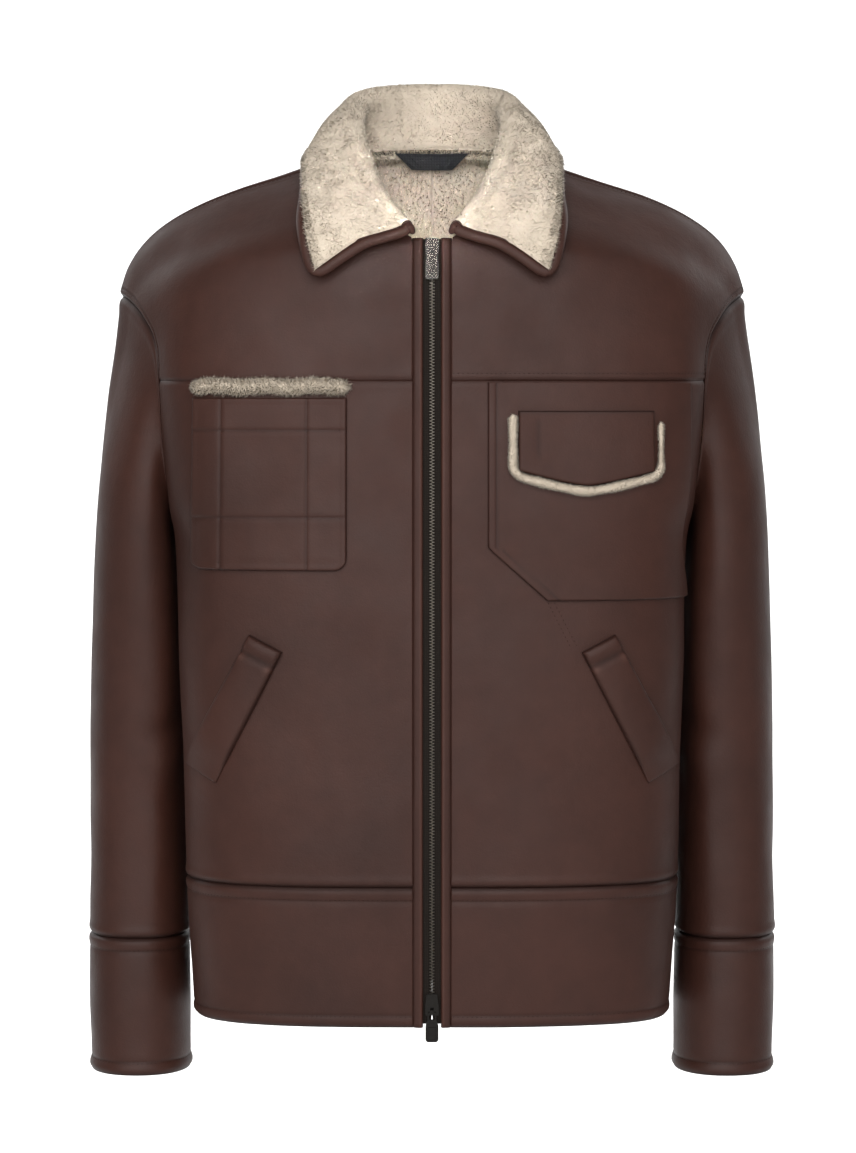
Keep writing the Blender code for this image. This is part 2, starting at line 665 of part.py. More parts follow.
def build_zip():
    """The edge facings, the tape and the chain of the zip."""
    hem, throat = LEVELS["hem"][0], FRONT_ROWS["throat"][0][2]
    (x0, x1), top, back = FACING_X, FACING_PROUD, FACING_BACK
    round_section = [(x0, back), (x1, back), (x1, 0.0), (x1 - 0.0015, top), (x0 + 0.0018, top), (x0, -0.0010)]
    add_pair("zip_facing", strip_mesh(middle_heights(hem, throat), round_section), LEATHER)
    heights = middle_heights(hem + 0.003, throat)
    add_pair("zip_tape", strip_mesh(heights, box_section(TAPE_X, TAPE_DEPTH)), TAPE)
    ends = (SLIDER_BOTTOM_Z - 0.0030, SLIDER_TOP_Z + 0.0030)
    section = box_section((-CHAIN_HALF, CHAIN_HALF), CHAIN_DEPTH)
    add_object("zip_chain", strip_mesh(middle_heights(*ends), section), TEETH)


def framed_box(name, frame, low, high, collection):
    """A box between two corners given across, up and out from a frame."""
    point, up, out = frame
    bm = bmesh.new()
    bmesh.ops.create_cube(bm, size=1.0)
    low, high = np.array(low), np.array(high)
    for vert in bm.verts:
        across, height, depth = (low + high) / 2 + np.array(vert.co) * (high - low)
        vert.co = point + np.array((across, 0.0, 0.0)) + height * up + depth * out
    mesh = bpy.data.meshes.new(name)
    bm.to_mesh(mesh)
    bm.free()
    piece = bpy.data.objects.new(name, mesh)
    bpy.data.collections[collection].objects.link(piece)
    return piece


def combined(name, frame, base, joined, cut, finish):
    """A box with other boxes joined to it or cut from it."""
    piece = framed_box(name, frame, *base, OBJECT_NAME)
    for operation, boxes in (("UNION", joined), ("DIFFERENCE", cut)):
        for k, box in enumerate(boxes):
            helper = framed_box(f"{name}_{operation.lower()}_{k}", frame, *box, "cutters")
            helper.hide_render = True
            helper.display_type = "WIRE"
            modifier = piece.modifiers.new(operation.lower(), "BOOLEAN")
            modifier.operation = operation
            modifier.object = helper
    piece.data.materials.append(new_material(finish))
    return piece


def set_origin(piece, place):
    """Put the object's origin at the place and leave its mesh where it is."""
    for vert in piece.data.vertices:
        vert.co -= Vector(place)
    piece.location = place


ARCH_HALF = 0.0030
ARCH_LEG = 0.0011
ARCH_WIDTH = 0.0022
PLATE_DEPTH = (0.0001, 0.0016)
BACK_PLATE_DEPTH = (-0.0044, -0.0032)
ARCH_DEPTH = (0.0036, 0.0047)
AXIS_DEPTH = 0.0026
AXIS_ABOVE_LEG = 0.0010
WINDOW_LENGTH = 0.0052
WEDGE_HALF = 0.0016
WEDGE_START = 0.0037
WEDGE_SHORT = 0.0005
JOIN_DEPTH = 0.0003


def build_slider(which, z, arch_at, wedge_side):
    """A slider: two plates and the wedge between them, with an arch in front that holds the pull."""
    frame = middle_frame(z)
    half_x, half_h = SLIDER_SIZE[0] / 2, SLIDER_SIZE[1] / 2
    wedge = sorted((wedge_side * WEDGE_START, wedge_side * (half_h - WEDGE_SHORT)))
    leg_low, leg_high = arch_at - ARCH_HALF, arch_at + ARCH_HALF
    half_arch = ARCH_WIDTH / 2
    back_in, front_in = BACK_PLATE_DEPTH[0] + JOIN_DEPTH, PLATE_DEPTH[1] - JOIN_DEPTH
    joined = [((-half_x, -half_h, BACK_PLATE_DEPTH[0]), (half_x, half_h, BACK_PLATE_DEPTH[1])),
              ((-WEDGE_HALF, wedge[0], back_in), (WEDGE_HALF, wedge[1], front_in)),
              ((-half_arch, leg_low, front_in), (half_arch, leg_high, ARCH_DEPTH[1]))]
    opening = ((-half_x, leg_low + ARCH_LEG, PLATE_DEPTH[1]), (half_x, leg_high - ARCH_LEG, ARCH_DEPTH[0]))
    base = ((-half_x, -half_h, PLATE_DEPTH[0]), (half_x, half_h, PLATE_DEPTH[1]))
    combined(f"slider_{which}", frame, base, joined, [opening], GUNMETAL)
    axis_at = leg_low + ARCH_LEG + AXIS_ABOVE_LEG
    half_t = PULL_THICKNESS / 2
    tag = ((-PULL_SIZE[0] / 2, axis_at + half_t - PULL_SIZE[1], AXIS_DEPTH - half_t),
           (PULL_SIZE[0] / 2, axis_at + half_t, AXIS_DEPTH + half_t))
    window = ((-half_arch - 0.0005, axis_at - WINDOW_LENGTH, AXIS_DEPTH - 0.002),
              (half_arch + 0.0005, axis_at - half_t, AXIS_DEPTH + 0.002))
    pull = combined(f"pull_{which}", frame, tag, [], [window], GUNMETAL)
    point, up, out = frame
    set_origin(pull, point + axis_at * up + AXIS_DEPTH * out)


# Collar stations from the zip edge round to the middle of the back. Columns: the neckline point, the top
# of the roll, half the roll's width, which two coordinates place the free edge on the body, their values,
# and how far off the body the edge lies.
COLLAR = (
    ((0.0165, -0.1161, -0.0613), (0.0200, -0.1250, -0.0555), 0.0030, "xz", (0.0875, -0.0935), 0.0085),
    ((0.0466, -0.0893, -0.0396), (0.0400, -0.1040, -0.0320), 0.0050, "xz", (0.0950, -0.0660), 0.0088),
    ((0.0702, -0.0490, -0.0178), (0.0575, -0.0560, 0.0045), 0.0065, "xy", (0.0972, -0.0480), 0.0088),
    ((0.0796, 0.0000, 0.0000), (0.0655, -0.0020, 0.0375), 0.0080, "xy", (0.0962, -0.0020), 0.0088),
    ((0.0588, 0.0476, 0.0098), (0.0545, 0.0520, 0.0575), 0.0080, "xy", (0.0790, 0.0640), 0.0092),
    ((0.0000, 0.0722, 0.0136), (0.0000, 0.0840, 0.0645), 0.0080, "xz", (0.0000, -0.0020), 0.0092),
)
COLLAR_ACROSS = 12
COLLAR_ALONG = 12
ROLL_DROP = 0.0065
FALL_BULGE = 0.0045
EDGE_RADIUS = 0.0044
EDGE_RADIUS_BEHIND = 0.0030
EDGE_GAP = 0.0016
FALL_FROM = 6
COLLAR_REST = 0.0010
COLLAR_CLEARANCE = 0.0088


def collar_sections():
    """The control points of each collar station: neck, stand, roll, fall and edge."""
    sections = []
    for neck, roll, half, axes, place, lift in COLLAR:
        neck, roll = np.array(neck), np.array(roll)
        start = ("throat", 0.35) if axes == "xz" else ("collarbone", 0.3)
        if place[1] > 0.0:
            start = ("blade_top", 0.3)
        if place[0] == 0.0:
            start = ("neck_back", 0.0)
            point = np.array((0.0, 0.085, place[1]))
            normal = np.array((0.0, 1.0, 0.0))
        else:
            point, normal = surface_at(place, (0, 2) if axes == "xz" else (0, 1), start)
        edge = point + lift * normal
        out = edge - roll
        out[2] = 0.0
        out = unit(out)
        drop = np.array((0.0, 0.0, min(ROLL_DROP, half * 1.2)))
        middle = 0.5 * (roll + edge)
        fall = middle + FALL_BULGE * unit(np.array((out[0], out[1], 0.8)))
        sections.append((neck, roll - half * out - drop, roll, roll + half * out - drop, fall, edge))
    return np.array(sections)


def collar_grid():
    """Points of the collar's middle surface, from the left zip edge round the back to the right one."""
    sections = collar_sections()
    flip = np.array((-1.0, 1.0, 1.0))
    whole = np.concatenate([sections, (sections * flip)[-2::-1]])
    along = np.concatenate([[0.0], np.cumsum(np.linalg.norm(np.diff(whole[:, 2], axis=0), axis=1))])
    places = np.linspace(0.0, along[-1], 2 * COLLAR_ALONG + 1)
    grid = []
    for at in places:
        section = through(whole, along, at)
        run = np.concatenate([[0.0], np.cumsum(np.linalg.norm(np.diff(section, axis=0), axis=1))])
        steps = np.concatenate([np.linspace(0.0, run[1], 3), np.linspace(run[1], run[3], 5)[1:],
                                np.linspace(run[3], run[5], COLLAR_ACROSS - 5)[1:]])
        grid.append([through(section, run, t) for t in steps])
    return lifted_off(np.array(grid), COLLAR_CLEARANCE, FALL_FROM)


def lifted_off(grid, clearance, first):
    """The grid with each row's points, from the first given, at least the clearance off the shoulders."""
    places = [(v, u) for v in np.linspace(AT["bust"], AT["blade"], 60) for u in np.linspace(0.0, 0.6, 16)]
    points = np.array([body_point(*place) for place in places])
    normals = np.array([body_normal(*place) for place in places])
    flip = np.array((-1.0, 1.0, 1.0))
    points, normals = np.concatenate([points, points * flip]), np.concatenate([normals, normals * flip])
    for row in grid:
        for j in range(first, len(row)):
            nearest = np.argmin(((points - row[j]) ** 2).sum(axis=1))
            short = clearance - (row[j] - points[nearest]) @ normals[nearest]
            if short > 0.0:
                row[j] += short * normals[nearest]
    return grid


def grid_normals(grid):
    """Outward directions over a grid of points, by differences between neighbours."""
    return unit(np.cross(np.gradient(grid, axis=0), np.gradient(grid, axis=1)))


def build_collar():
    """The collar with its wool side up, and the turned leather edge around its front and free edges."""
    grid = collar_grid()
    normals = grid_normals(grid)
    half = WALL_COLLAR / 2
    add_object("collar", wall_mesh(grid + half * normals, grid - half * normals), WOOL)
    start = FALL_FROM + 1
    across = grid[:, -1] - grid[:, -2]
    forward = (unit(grid[0] - grid[1]), unit(grid[-1] - grid[-2]))
    corner = (unit(forward[0][-1:] + unit(across[:1])), unit(forward[1][-1:] + unit(across[-1:])))
    route = np.concatenate([grid[0, start:-1], grid[:, -1], grid[-1, start:-1][::-1]])
    lie = np.concatenate([normals[0, start:-1], normals[:, -1], normals[-1, start:-1][::-1]])
    away = np.concatenate([forward[0][start:-1], corner[0], unit(across[1:-1]), corner[1],
                           forward[1][start:-1][::-1]])
    behind = smooth(-0.105, -0.060, route[:, 1:2])
    radius = EDGE_RADIUS + (EDGE_RADIUS_BEHIND - EDGE_RADIUS) * behind
    path = lifted_off([route + (radius + EDGE_GAP) * away], 0.8 * EDGE_RADIUS + COLLAR_REST, 0)[0]
    path = route + (radius + EDGE_GAP) * unit(path - route)
    add_object("collar_edge", tube_mesh(path, lie, radius, sides=8, flatness=0.8), LEATHER)


# Hanger loop: half its width and its height at the top and bottom, its place at its middle and its ends
LOOP_TOP = (0.0300, 0.0104)
LOOP_BOTTOM = (0.0165, -0.0030)
LOOP_THICKNESS = 0.0013
LOOP_MIDDLE_Y = 0.0714
LOOP_END_Y = 0.0641


def build_hanger_loop():
    """The short flat loop that hangs inside the back neck, sewn to the skin along its top."""
    fronts, backs = [], []
    for k in range(7):
        share = k / 3 - 1.0
        y = LOOP_MIDDLE_Y + (LOOP_END_Y - LOOP_MIDDLE_Y) * share ** 2
        ends = [(share * half, y, z) for half, z in (LOOP_TOP, LOOP_BOTTOM)]
        backs.append(ends)
        fronts.append([(x, y - LOOP_THICKNESS, z) for x, y, z in ends])
    add_object("hanger_loop", wall_mesh(np.array(fronts), np.array(backs)), LOOP_CLOTH)


def start_scene():
    """Empty the scene and make the collections of the parts and of their cutters."""
    for old in list(bpy.data.objects):
        bpy.data.objects.remove(old)
    for name in (OBJECT_NAME, "cutters"):
        bpy.context.scene.collection.children.link(bpy.data.collections.new(name))


start_scene()
armhole = build_body()
build_sleeve(armhole)
build_zip()
build_slider("top", SLIDER_TOP_Z, -0.0005, 1)
build_slider("bottom", SLIDER_BOTTOM_Z, -0.0052, -1)
build_patch_pocket()
build_chest_panel()
build_flap()
build_welts()
build_collar()
build_hanger_loop()
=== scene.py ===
"""The looks of the sheepskin flying jacket: leather skins, seams, creases, wool, zip and stitches.

Metres, in the frame of the CAD. The wearer's left is +X and the front faces -Y. The tables of the shape are
those of the solids, so every skin lies where its solid is.
"""
import math

import bmesh
import bpy
import numpy as np
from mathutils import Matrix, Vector, noise


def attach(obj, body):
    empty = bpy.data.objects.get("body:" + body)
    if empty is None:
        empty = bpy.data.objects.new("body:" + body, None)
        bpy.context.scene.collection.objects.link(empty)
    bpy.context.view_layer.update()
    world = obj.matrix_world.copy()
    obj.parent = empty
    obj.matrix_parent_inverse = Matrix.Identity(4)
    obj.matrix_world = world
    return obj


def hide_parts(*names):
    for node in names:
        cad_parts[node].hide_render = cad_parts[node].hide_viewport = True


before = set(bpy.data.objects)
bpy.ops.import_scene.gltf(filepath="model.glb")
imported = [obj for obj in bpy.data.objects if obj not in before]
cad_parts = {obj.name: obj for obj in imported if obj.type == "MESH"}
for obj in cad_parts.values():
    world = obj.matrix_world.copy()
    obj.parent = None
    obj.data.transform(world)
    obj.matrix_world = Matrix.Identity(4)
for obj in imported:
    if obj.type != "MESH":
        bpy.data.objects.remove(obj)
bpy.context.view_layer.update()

# Camera and light
CAMERA_PLACE = (0.0, -3.0, -0.19)
CAMERA_TARGET = (-0.0032, 0.0, -0.3312)
CAMERA_LENS = 117.09
FLOOR_Z = -0.95

# Sizes of the solids
WALL_BODY = 0.006
WALL_SLEEVE = 0.005
WALL_COLLAR = 0.008
SEAM_GAP = 0.0003
LAY_GAP = 0.0007
CURVE_GAP = 0.0014
FRONT_EDGE_X = 0.0148
NECK_WOOL_FROM = -0.045
NECK_CLEAR_OF_MIDDLE = 0.002
SIDE_SEAM_Y = 0.018
SIDES = ((-1, "right"), (1, "left"))

# Body below the armholes. Columns: the level's height z, half its width, its depth to the front and back.
LEVELS = {
    "hem": (-0.672, 0.193, 0.139, 0.110),
    "band": (-0.563, 0.199, 0.147, 0.108),
    "waist": (-0.470, 0.201, 0.148, 0.108),
    "rib": (-0.380, 0.204, 0.147, 0.116),
    "armpit": (-0.300, 0.204, 0.144, 0.125),
}
FRONT_FULLNESS = (0.90, 0.80)
BACK_FULLNESS = (0.72, 0.70)

# Rows above the armpit. Columns: inner end, inner handle, outer handle, outer end.
FRONT_ROWS = {
    "scye_low": ((FRONT_EDGE_X, -0.142, -0.262), (0.178, -0.142, -0.262),
                 (0.212, -0.108, -0.266), (0.2060, -0.036, -0.270)),
    "scye_mid": ((FRONT_EDGE_X, -0.139, -0.218), (0.172, -0.139, -0.218),
                 (0.208, -0.108, -0.220), (0.2110, -0.058, -0.222)),
    "yoke": ((FRONT_EDGE_X, -0.135, -0.175), (0.165, -0.135, -0.175),
             (0.206, -0.104, -0.175), (0.2130, -0.063, -0.175)),
    "bust": ((FRONT_EDGE_X, -0.128, -0.118), (0.155, -0.127, -0.124),
             (0.205, -0.096, -0.128), (0.2170, -0.059, -0.144)),
    "throat": ((FRONT_EDGE_X, -0.119, -0.066), (0.130, -0.117, -0.078),
               (0.205, -0.086, -0.084), (0.2270, -0.045, -0.126)),
    "collarbone": ((0.049, -0.090, -0.043), (0.128, -0.092, -0.058),
                   (0.216, -0.056, -0.066), (0.2370, -0.026, -0.1145)),
}
SHOULDER_ROW = ((0.081, 0.000, 0.000), (0.150, 0.000, -0.024),
                (0.241, 0.000, -0.039), (0.2480, 0.000, -0.107))
BACK_ROWS = {
    "blade_top": ((0.062, 0.050, 0.009), (0.135, 0.070, -0.016),
                  (0.222, 0.060, -0.052), (0.2420, 0.030, -0.114)),
    "neck_back": ((0.0, 0.076, 0.0135), (0.110, 0.094, 0.000),
                  (0.205, 0.098, -0.070), (0.2290, 0.060, -0.139)),
    "blade": ((0.0, 0.110, -0.070), (0.130, 0.122, -0.080),
              (0.198, 0.118, -0.122), (0.2150, 0.080, -0.182)),
    "blade_low": ((0.0, 0.127, -0.165), (0.140, 0.134, -0.170),
                  (0.200, 0.122, -0.205), (0.2070, 0.074, -0.240)),
    "scye_back": ((0.0, 0.130, -0.250), (0.142, 0.133, -0.250),
                  (0.204, 0.112, -0.270), (0.2030, 0.050, -0.282)),
}
DENT_DEPTH = 0.014
DENT_Y = 0.022
DENT_SPREAD = 0.062
DENT_FROM_X = (0.120, 0.190)
DENT_FADE_Z = (-0.380, -0.262)

# Sleeve rings. Columns: outer x and z, inner x and z, middle y, half depth to the front and back, squareness.
SLEEVE_RINGS = {
    "cap": (0.2528, -0.142, 0.2010, -0.3140, 0.017, 0.076, 0.075, 0.92),
    "upper": (0.2602, -0.190, 0.1995, -0.3300, 0.018, 0.078, 0.077, 0.90),
    "biceps": (0.2678, -0.262, 0.1975, -0.3640, 0.019, 0.077, 0.077, 0.88),
    "above_elbow": (0.2722, -0.345, 0.1955, -0.4100, 0.021, 0.073, 0.074, 0.88),
    "elbow": (0.2750, -0.435, 0.1950, -0.4650, 0.023, 0.068, 0.070, 0.88),
    "forearm": (0.2755, -0.525, 0.1955, -0.5350, 0.020, 0.061, 0.064, 0.88),
    "cuff_seam": (0.2755, -0.617, 0.1960, -0.6170, 0.014, 0.056, 0.058, 0.88),
}
CUFF_RINGS = {
    "cuff_seam": SLEEVE_RINGS["cuff_seam"],
    "cuff_middle": (0.2755, -0.670, 0.1950, -0.6700, 0.009, 0.055, 0.056, 0.88),
    "cuff_nip": (0.2740, -0.714, 0.1950, -0.7140, 0.006, 0.054, 0.054, 0.90),
    "cuff_edge": (0.2755, -0.725, 0.1935, -0.7250, 0.005, 0.055, 0.055, 0.90),
}
ARMHOLE_RING = (0.012, 0.074, 0.070, 0.92)
HEAD_SETTLES_AT = 3

# How finely the skins are divided
SEAM_STEP = 0.0010
SEAM_STEPS = 13
SKIN_STEP = 0.0045

# Seams: how the skin rolls into them, swells beside them and is drawn down along a row of stitches
ROLL_DROP = 0.0019
ROLL_WIDTH = 0.0017
SWELL_HEIGHT = 0.0007
SWELL_AT = 0.0050
SWELL_WIDTH = 0.0034
STITCH_DIP = 0.0006
STITCH_DIP_WIDTH = 0.0011
SEAM_SHADE = 0.0026


def smooth(low, high, value):
    """0 below low, 1 above high, and a soft step between them."""
    t = np.clip((value - low) / (high - low), 0.0, 1.0)
    return t * t * (3.0 - 2.0 * t)


def unit(vectors):
    """Each vector of the array at length one."""
    return vectors / np.maximum(np.linalg.norm(vectors, axis=-1, keepdims=True), 1e-12)


def bell(distance, width):
    """1 at no distance, fading softly over the width."""
    return np.exp(-(distance / width) ** 2)


def run_along(points):
    """The running length at each point of a path."""
    return np.concatenate([[0.0], np.cumsum(np.linalg.norm(np.diff(points, axis=0), axis=1))])


def through(rows, knots, at):
    """The smooth curve through the rows, read at a knot value."""
    last = len(knots) - 1
    k = int(np.clip(np.searchsorted(knots, at, side="right") - 1, 0, last - 1))
    span = knots[k + 1] - knots[k]
    t = (at - knots[k]) / span

    def slope(i):
        low, high = max(i - 1, 0), min(i + 1, last)
        return (rows[high] - rows[low]) / (knots[high] - knots[low])

    return ((2 * t ** 3 - 3 * t ** 2 + 1) * rows[k] + (t ** 3 - 2 * t ** 2 + t) * span * slope(k)
            + (3 * t ** 2 - 2 * t ** 3) * rows[k + 1] + (t ** 3 - t ** 2) * span * slope(k + 1))


def level_row(name, side):
    """The quarter ring of one level, from the middle of the front (-1) or back (+1) to the side seam."""
    z, half_width, depth, back = LEVELS[name]
    fullness, inner_x = FRONT_FULLNESS, FRONT_EDGE_X
    if side > 0:
        depth, fullness, inner_x = back, BACK_FULLNESS, 0.0
    middle_y = side * depth
    handle_x = inner_x + fullness[0] * (half_width - inner_x)
    handle_y = SIDE_SEAM_Y + fullness[1] * (middle_y - SIDE_SEAM_Y)
    return ((inner_x, middle_y, z), (handle_x, middle_y, z), (half_width + 0.004, handle_y, z),
            (half_width, SIDE_SEAM_Y, z))


def body_rows():
    """All rows of half the body, from the front hem over the shoulder to the back hem, with their knots."""
    names = [f"front_{name}" for name in LEVELS] + list(FRONT_ROWS) + ["shoulder"] + list(BACK_ROWS)
    names += [f"back_{name}" for name in reversed(LEVELS)]
    rows = [level_row(name, -1) for name in LEVELS] + list(FRONT_ROWS.values()) + [SHOULDER_ROW]
    rows += list(BACK_ROWS.values()) + [level_row(name, 1) for name in reversed(LEVELS)]
    rows = np.array(rows)
    gaps = np.linalg.norm(np.diff(rows, axis=0), axis=2).mean(axis=1)
    low = len(LEVELS) - 1
    heights = [abs(LEVELS[a][0] - LEVELS[b][0]) for a, b in zip(list(LEVELS)[:-1], list(LEVELS)[1:])]
    gaps[:low] = heights
    gaps[-low:] = heights[::-1]
    knots = np.concatenate([[0.0], np.cumsum(gaps)])
    return rows, knots, dict(zip(names, knots))


BODY, BODY_KNOTS, AT = body_rows()
CORNERS = [0, list(AT).index("throat"), list(AT).index("neck_back"), len(AT) - 1]


def body_row(v):
    """The four points of the row at v. Its inner end keeps to the zip edge, the neckline or the middle."""
    row = through(BODY, BODY_KNOTS, v)
    for low, high in zip(CORNERS[:-1], CORNERS[1:]):
        if v <= BODY_KNOTS[high] or high == CORNERS[-1]:
            row[0] = through(BODY[low:high + 1, 0], BODY_KNOTS[low:high + 1], v)
            return row


def body_points(vs, us):
    """Points of the outer face of the left half over a grid of places. `us` is one row or one for each v."""
    us = np.broadcast_to(us, (len(vs), np.shape(us)[-1]))[..., None]
    rows = np.array([body_row(v) for v in vs])[:, :, None, :]
    s = 1.0 - us
    points = (s ** 3 * rows[:, 0] + 3 * s * s * us * rows[:, 1] + 3 * s * us * us * rows[:, 2]
              + us ** 3 * rows[:, 3])
    x, y, z = points[..., 0], points[..., 1], points[..., 2]
    reach = smooth(*DENT_FROM_X, np.abs(x)) * (1.0 - smooth(*DENT_FADE_Z, z))
    points[..., 0] -= np.sign(x) * DENT_DEPTH * reach * bell(y - DENT_Y, DENT_SPREAD)
    return points


def body_normals(vs, us):
    """The outward directions there."""
    vs, e = np.array(vs), 1e-3
    us = np.broadcast_to(us, (len(vs), np.shape(us)[-1]))
    along = (body_points(np.minimum(vs + e, BODY_KNOTS[-1]), us) - body_points(np.maximum(vs - e, 0.0), us))
    across = body_points(vs, np.minimum(us + e, 1.0)) - body_points(vs, np.maximum(us - e, 0.0))
    normals = np.cross(across, along)
    flat = (us == 0.0) & ((vs <= AT["throat"]) | (vs >= AT["neck_back"]))[:, None]
    normals[..., 0][flat] = 0.0
    return unit(normals)


# Materials

def new_material(name, **uniform):
    """A node material, its tree and its Principled shader, whose sockets take the uniform values by name."""
    material = bpy.data.materials.new(name)
    material.use_nodes = True
    shader = material.node_tree.nodes["Principled BSDF"]
    for key, value in uniform.items():
        shader.inputs[key.replace("_", " ")].default_value = value
    return material, material.node_tree, shader


def node(tree, kind, **values):
    """A node with its sockets and properties set by name."""
    made = tree.nodes.new(kind)
    for key, value in values.items():
        if key in made.inputs:
            made.inputs[key].default_value = value
        else:
            setattr(made, key, value)
    return made


def on_object(tree, kind, **values):
    """A texture node on object coordinates, in metres."""
    where = node(tree, "ShaderNodeTexCoord")
    texture = node(tree, kind, **values)
    tree.links.new(where.outputs["Object"], texture.inputs["Vector"])
    return texture


def noise_at(tree, scale, detail=3.0, roughness=0.5):
    """The value of a noise texture with that many bumps to the metre."""
    made = on_object(tree, "ShaderNodeTexNoise", Scale=scale, Detail=detail, Roughness=roughness)
    return made.outputs["Fac"]


def times(colour, factor):
    """The colour made lighter or darker."""
    return tuple(factor * c for c in colour)


def ramp(tree, source, stops):
    """A colour ramp over a value. Each stop is a place and a colour or grey."""
    made = node(tree, "ShaderNodeValToRGB")
    elements = made.color_ramp.elements
    while len(elements) < len(stops):
        elements.new(0.5)
    for element, (place, colour) in zip(elements, stops):
        element.position = place
        grey = isinstance(colour, float)
        element.color = (colour, colour, colour, 1.0) if grey else (*colour, 1.0)
    tree.links.new(source, made.inputs["Fac"])
    return made.outputs["Color"]


def mixed(tree, blend, fac, a, b):
    """Two colours mixed. The factor and colours are sockets or values."""
    made = node(tree, "ShaderNodeMix", data_type="RGBA", blend_type=blend)
    for socket, value in ((made.inputs["Factor"], fac), (made.inputs[6], a), (made.inputs[7], b)):
        if isinstance(value, bpy.types.NodeSocket):
            tree.links.new(value, socket)
        elif isinstance(value, tuple):
            socket.default_value = (*value, 1.0)
        else:
            socket.default_value = value
    return made.outputs[2]


def bumps(tree, shader, layers):
    """Bump maps one over the other. Each layer is a height socket, a strength and a depth in metres."""
    below = None
    for height, strength, depth in layers:
        bump = node(tree, "ShaderNodeBump", Strength=strength, Distance=depth)
        tree.links.new(height, bump.inputs["Height"])
        if below:
            tree.links.new(below, bump.inputs["Normal"])
        below = bump.outputs["Normal"]
    tree.links.new(below, shader.inputs["Normal"])


# The darkest leather colour is painted shade for seam grooves, folds and under edges.
LEATHER_PAINTED_SHADE = (0.0160, 0.0058, 0.0040)
LEATHER_BASE = (0.0400, 0.0142, 0.0094)
# The lightest leather colour is a painted highlight on raised crests, and also lightens the turned collar edge.
LEATHER_WEAR_AND_HIGHLIGHT = (0.0680, 0.0290, 0.0210)
# The wool colours run from light to deep; in the fibres the deep end is painted shade at the root.
WOOL_LIGHT = (0.575, 0.495, 0.400)
WOOL_BASE = (0.560, 0.480, 0.385)
WOOL_DEEP = (0.535, 0.455, 0.360)


def leather_material():
    """Dark brown leather: mottled colour and a fine grain. Where the shade attribute is below 0.5 it darkens as
    painted shade in seams, folds and under edges; above 0.5 it lightens as a painted highlight on crests, and on
    the turned collar edge.
    """
    material, tree, shader = new_material("leather_skin", Specular_IOR_Level=0.22)
    base = ramp(tree, noise_at(tree, 7.0, 4.0, 0.55), ((0.30, times(LEATHER_BASE, 0.80)),
                                                       (0.72, times(LEATHER_BASE, 1.18))))
    fine = ramp(tree, noise_at(tree, 70.0, 4.0, 0.6), ((0.30, 0.86), (0.70, 1.0)))
    base = mixed(tree, "MULTIPLY", 1.0, base, fine)
    shade = node(tree, "ShaderNodeAttribute", attribute_name="shade").outputs["Fac"]
    # Painted shade: darker where the shade attribute falls below 0.5.
    base = mixed(tree, "MIX", ramp(tree, shade, ((0.0, 1.0), (0.5, 0.0))), base, LEATHER_PAINTED_SHADE)
    # Painted highlight: lighter where the shade attribute rises above 0.5.
    base = mixed(tree, "MIX", ramp(tree, shade, ((0.5, 0.0), (1.0, 1.0))), base, LEATHER_WEAR_AND_HIGHLIGHT)
    tree.links.new(base, shader.inputs["Base Color"])
    tree.links.new(ramp(tree, noise_at(tree, 24.0), ((0.3, 0.46), (0.7, 0.60))), shader.inputs["Roughness"])
    cells = on_object(tree, "ShaderNodeTexVoronoi", Scale=620.0, feature="F1").outputs["Distance"]
    bumps(tree, shader, ((noise_at(tree, 160.0, 5.0, 0.62), 0.35, 0.0006), (cells, 0.28, 0.00025)))
    return material


def wool_material():
    """Cream clipped wool: soft clumps of colour, and a fibrous bump."""
    material, tree, shader = new_material("wool", Roughness=0.95, Specular_IOR_Level=0.15)
    clumps = noise_at(tree, 210.0, 4.0, 0.6)
    tree.links.new(ramp(tree, clumps, ((0.28, WOOL_DEEP), (0.50, WOOL_BASE), (0.75, WOOL_LIGHT))),
                   shader.inputs["Base Color"])
    bumps(tree, shader, ((clumps, 0.15, 0.0008), (noise_at(tree, 520.0, 5.0, 0.7), 0.3, 0.0004)))
    return material


def fibre_material(name, lighter):
    """The wool's fibres: cream, a little darker at the root as painted shade deep in the pile."""
    material, tree, shader = new_material(name, Roughness=0.9, Specular_IOR_Level=0.12, Sheen_Weight=0.5,
                                          Sheen_Roughness=0.5, Sheen_Tint=(0.95, 0.88, 0.76, 1.0))
    tint = node(tree, "ShaderNodeAttribute", attribute_name="shade").outputs["Fac"]
    tones = [tuple(min(0.97, lighter * c) for c in tone) for tone in (WOOL_DEEP, WOOL_BASE, WOOL_LIGHT)]
    base = ramp(tree, tint, tuple(zip((0.0, 0.45, 1.0), tones)))
    broad = ramp(tree, noise_at(tree, 45.0), ((0.3, 0.92), (0.7, 1.0)))
    tree.links.new(mixed(tree, "MULTIPLY", 1.0, base, broad), shader.inputs["Base Color"])
    return material


def metal_material(name, colour, roughness):
    """Plated metal with faint wear."""
    material, tree, shader = new_material(name, Metallic=1.0)
    wear = noise_at(tree, 260.0, 2.0)
    tree.links.new(ramp(tree, wear, ((0.3, times(colour, 0.88)), (0.7, colour))), shader.inputs["Base Color"])
    tree.links.new(ramp(tree, wear, ((0.3, roughness + 0.03), (0.7, roughness))), shader.inputs["Roughness"])
    return material


def woven_material(name, colour, threads):
    """A plain weave with that many threads to the metre."""
    material, tree, shader = new_material(name, Roughness=0.85, Specular_IOR_Level=0.15)
    waves = [on_object(tree, "ShaderNodeTexWave", Scale=threads / 6.283, Distortion=0.4,
                       bands_direction=direction).outputs["Fac"] for direction in ("X", "Z")]
    weave = mixed(tree, "MULTIPLY", 1.0, *waves)
    tree.links.new(ramp(tree, weave, ((0.0, times(colour, 0.6)), (1.0, times(colour, 1.3)))),
                   shader.inputs["Base Color"])
    bumps(tree, shader, ((weave, 0.6, 0.0003),))
    return material


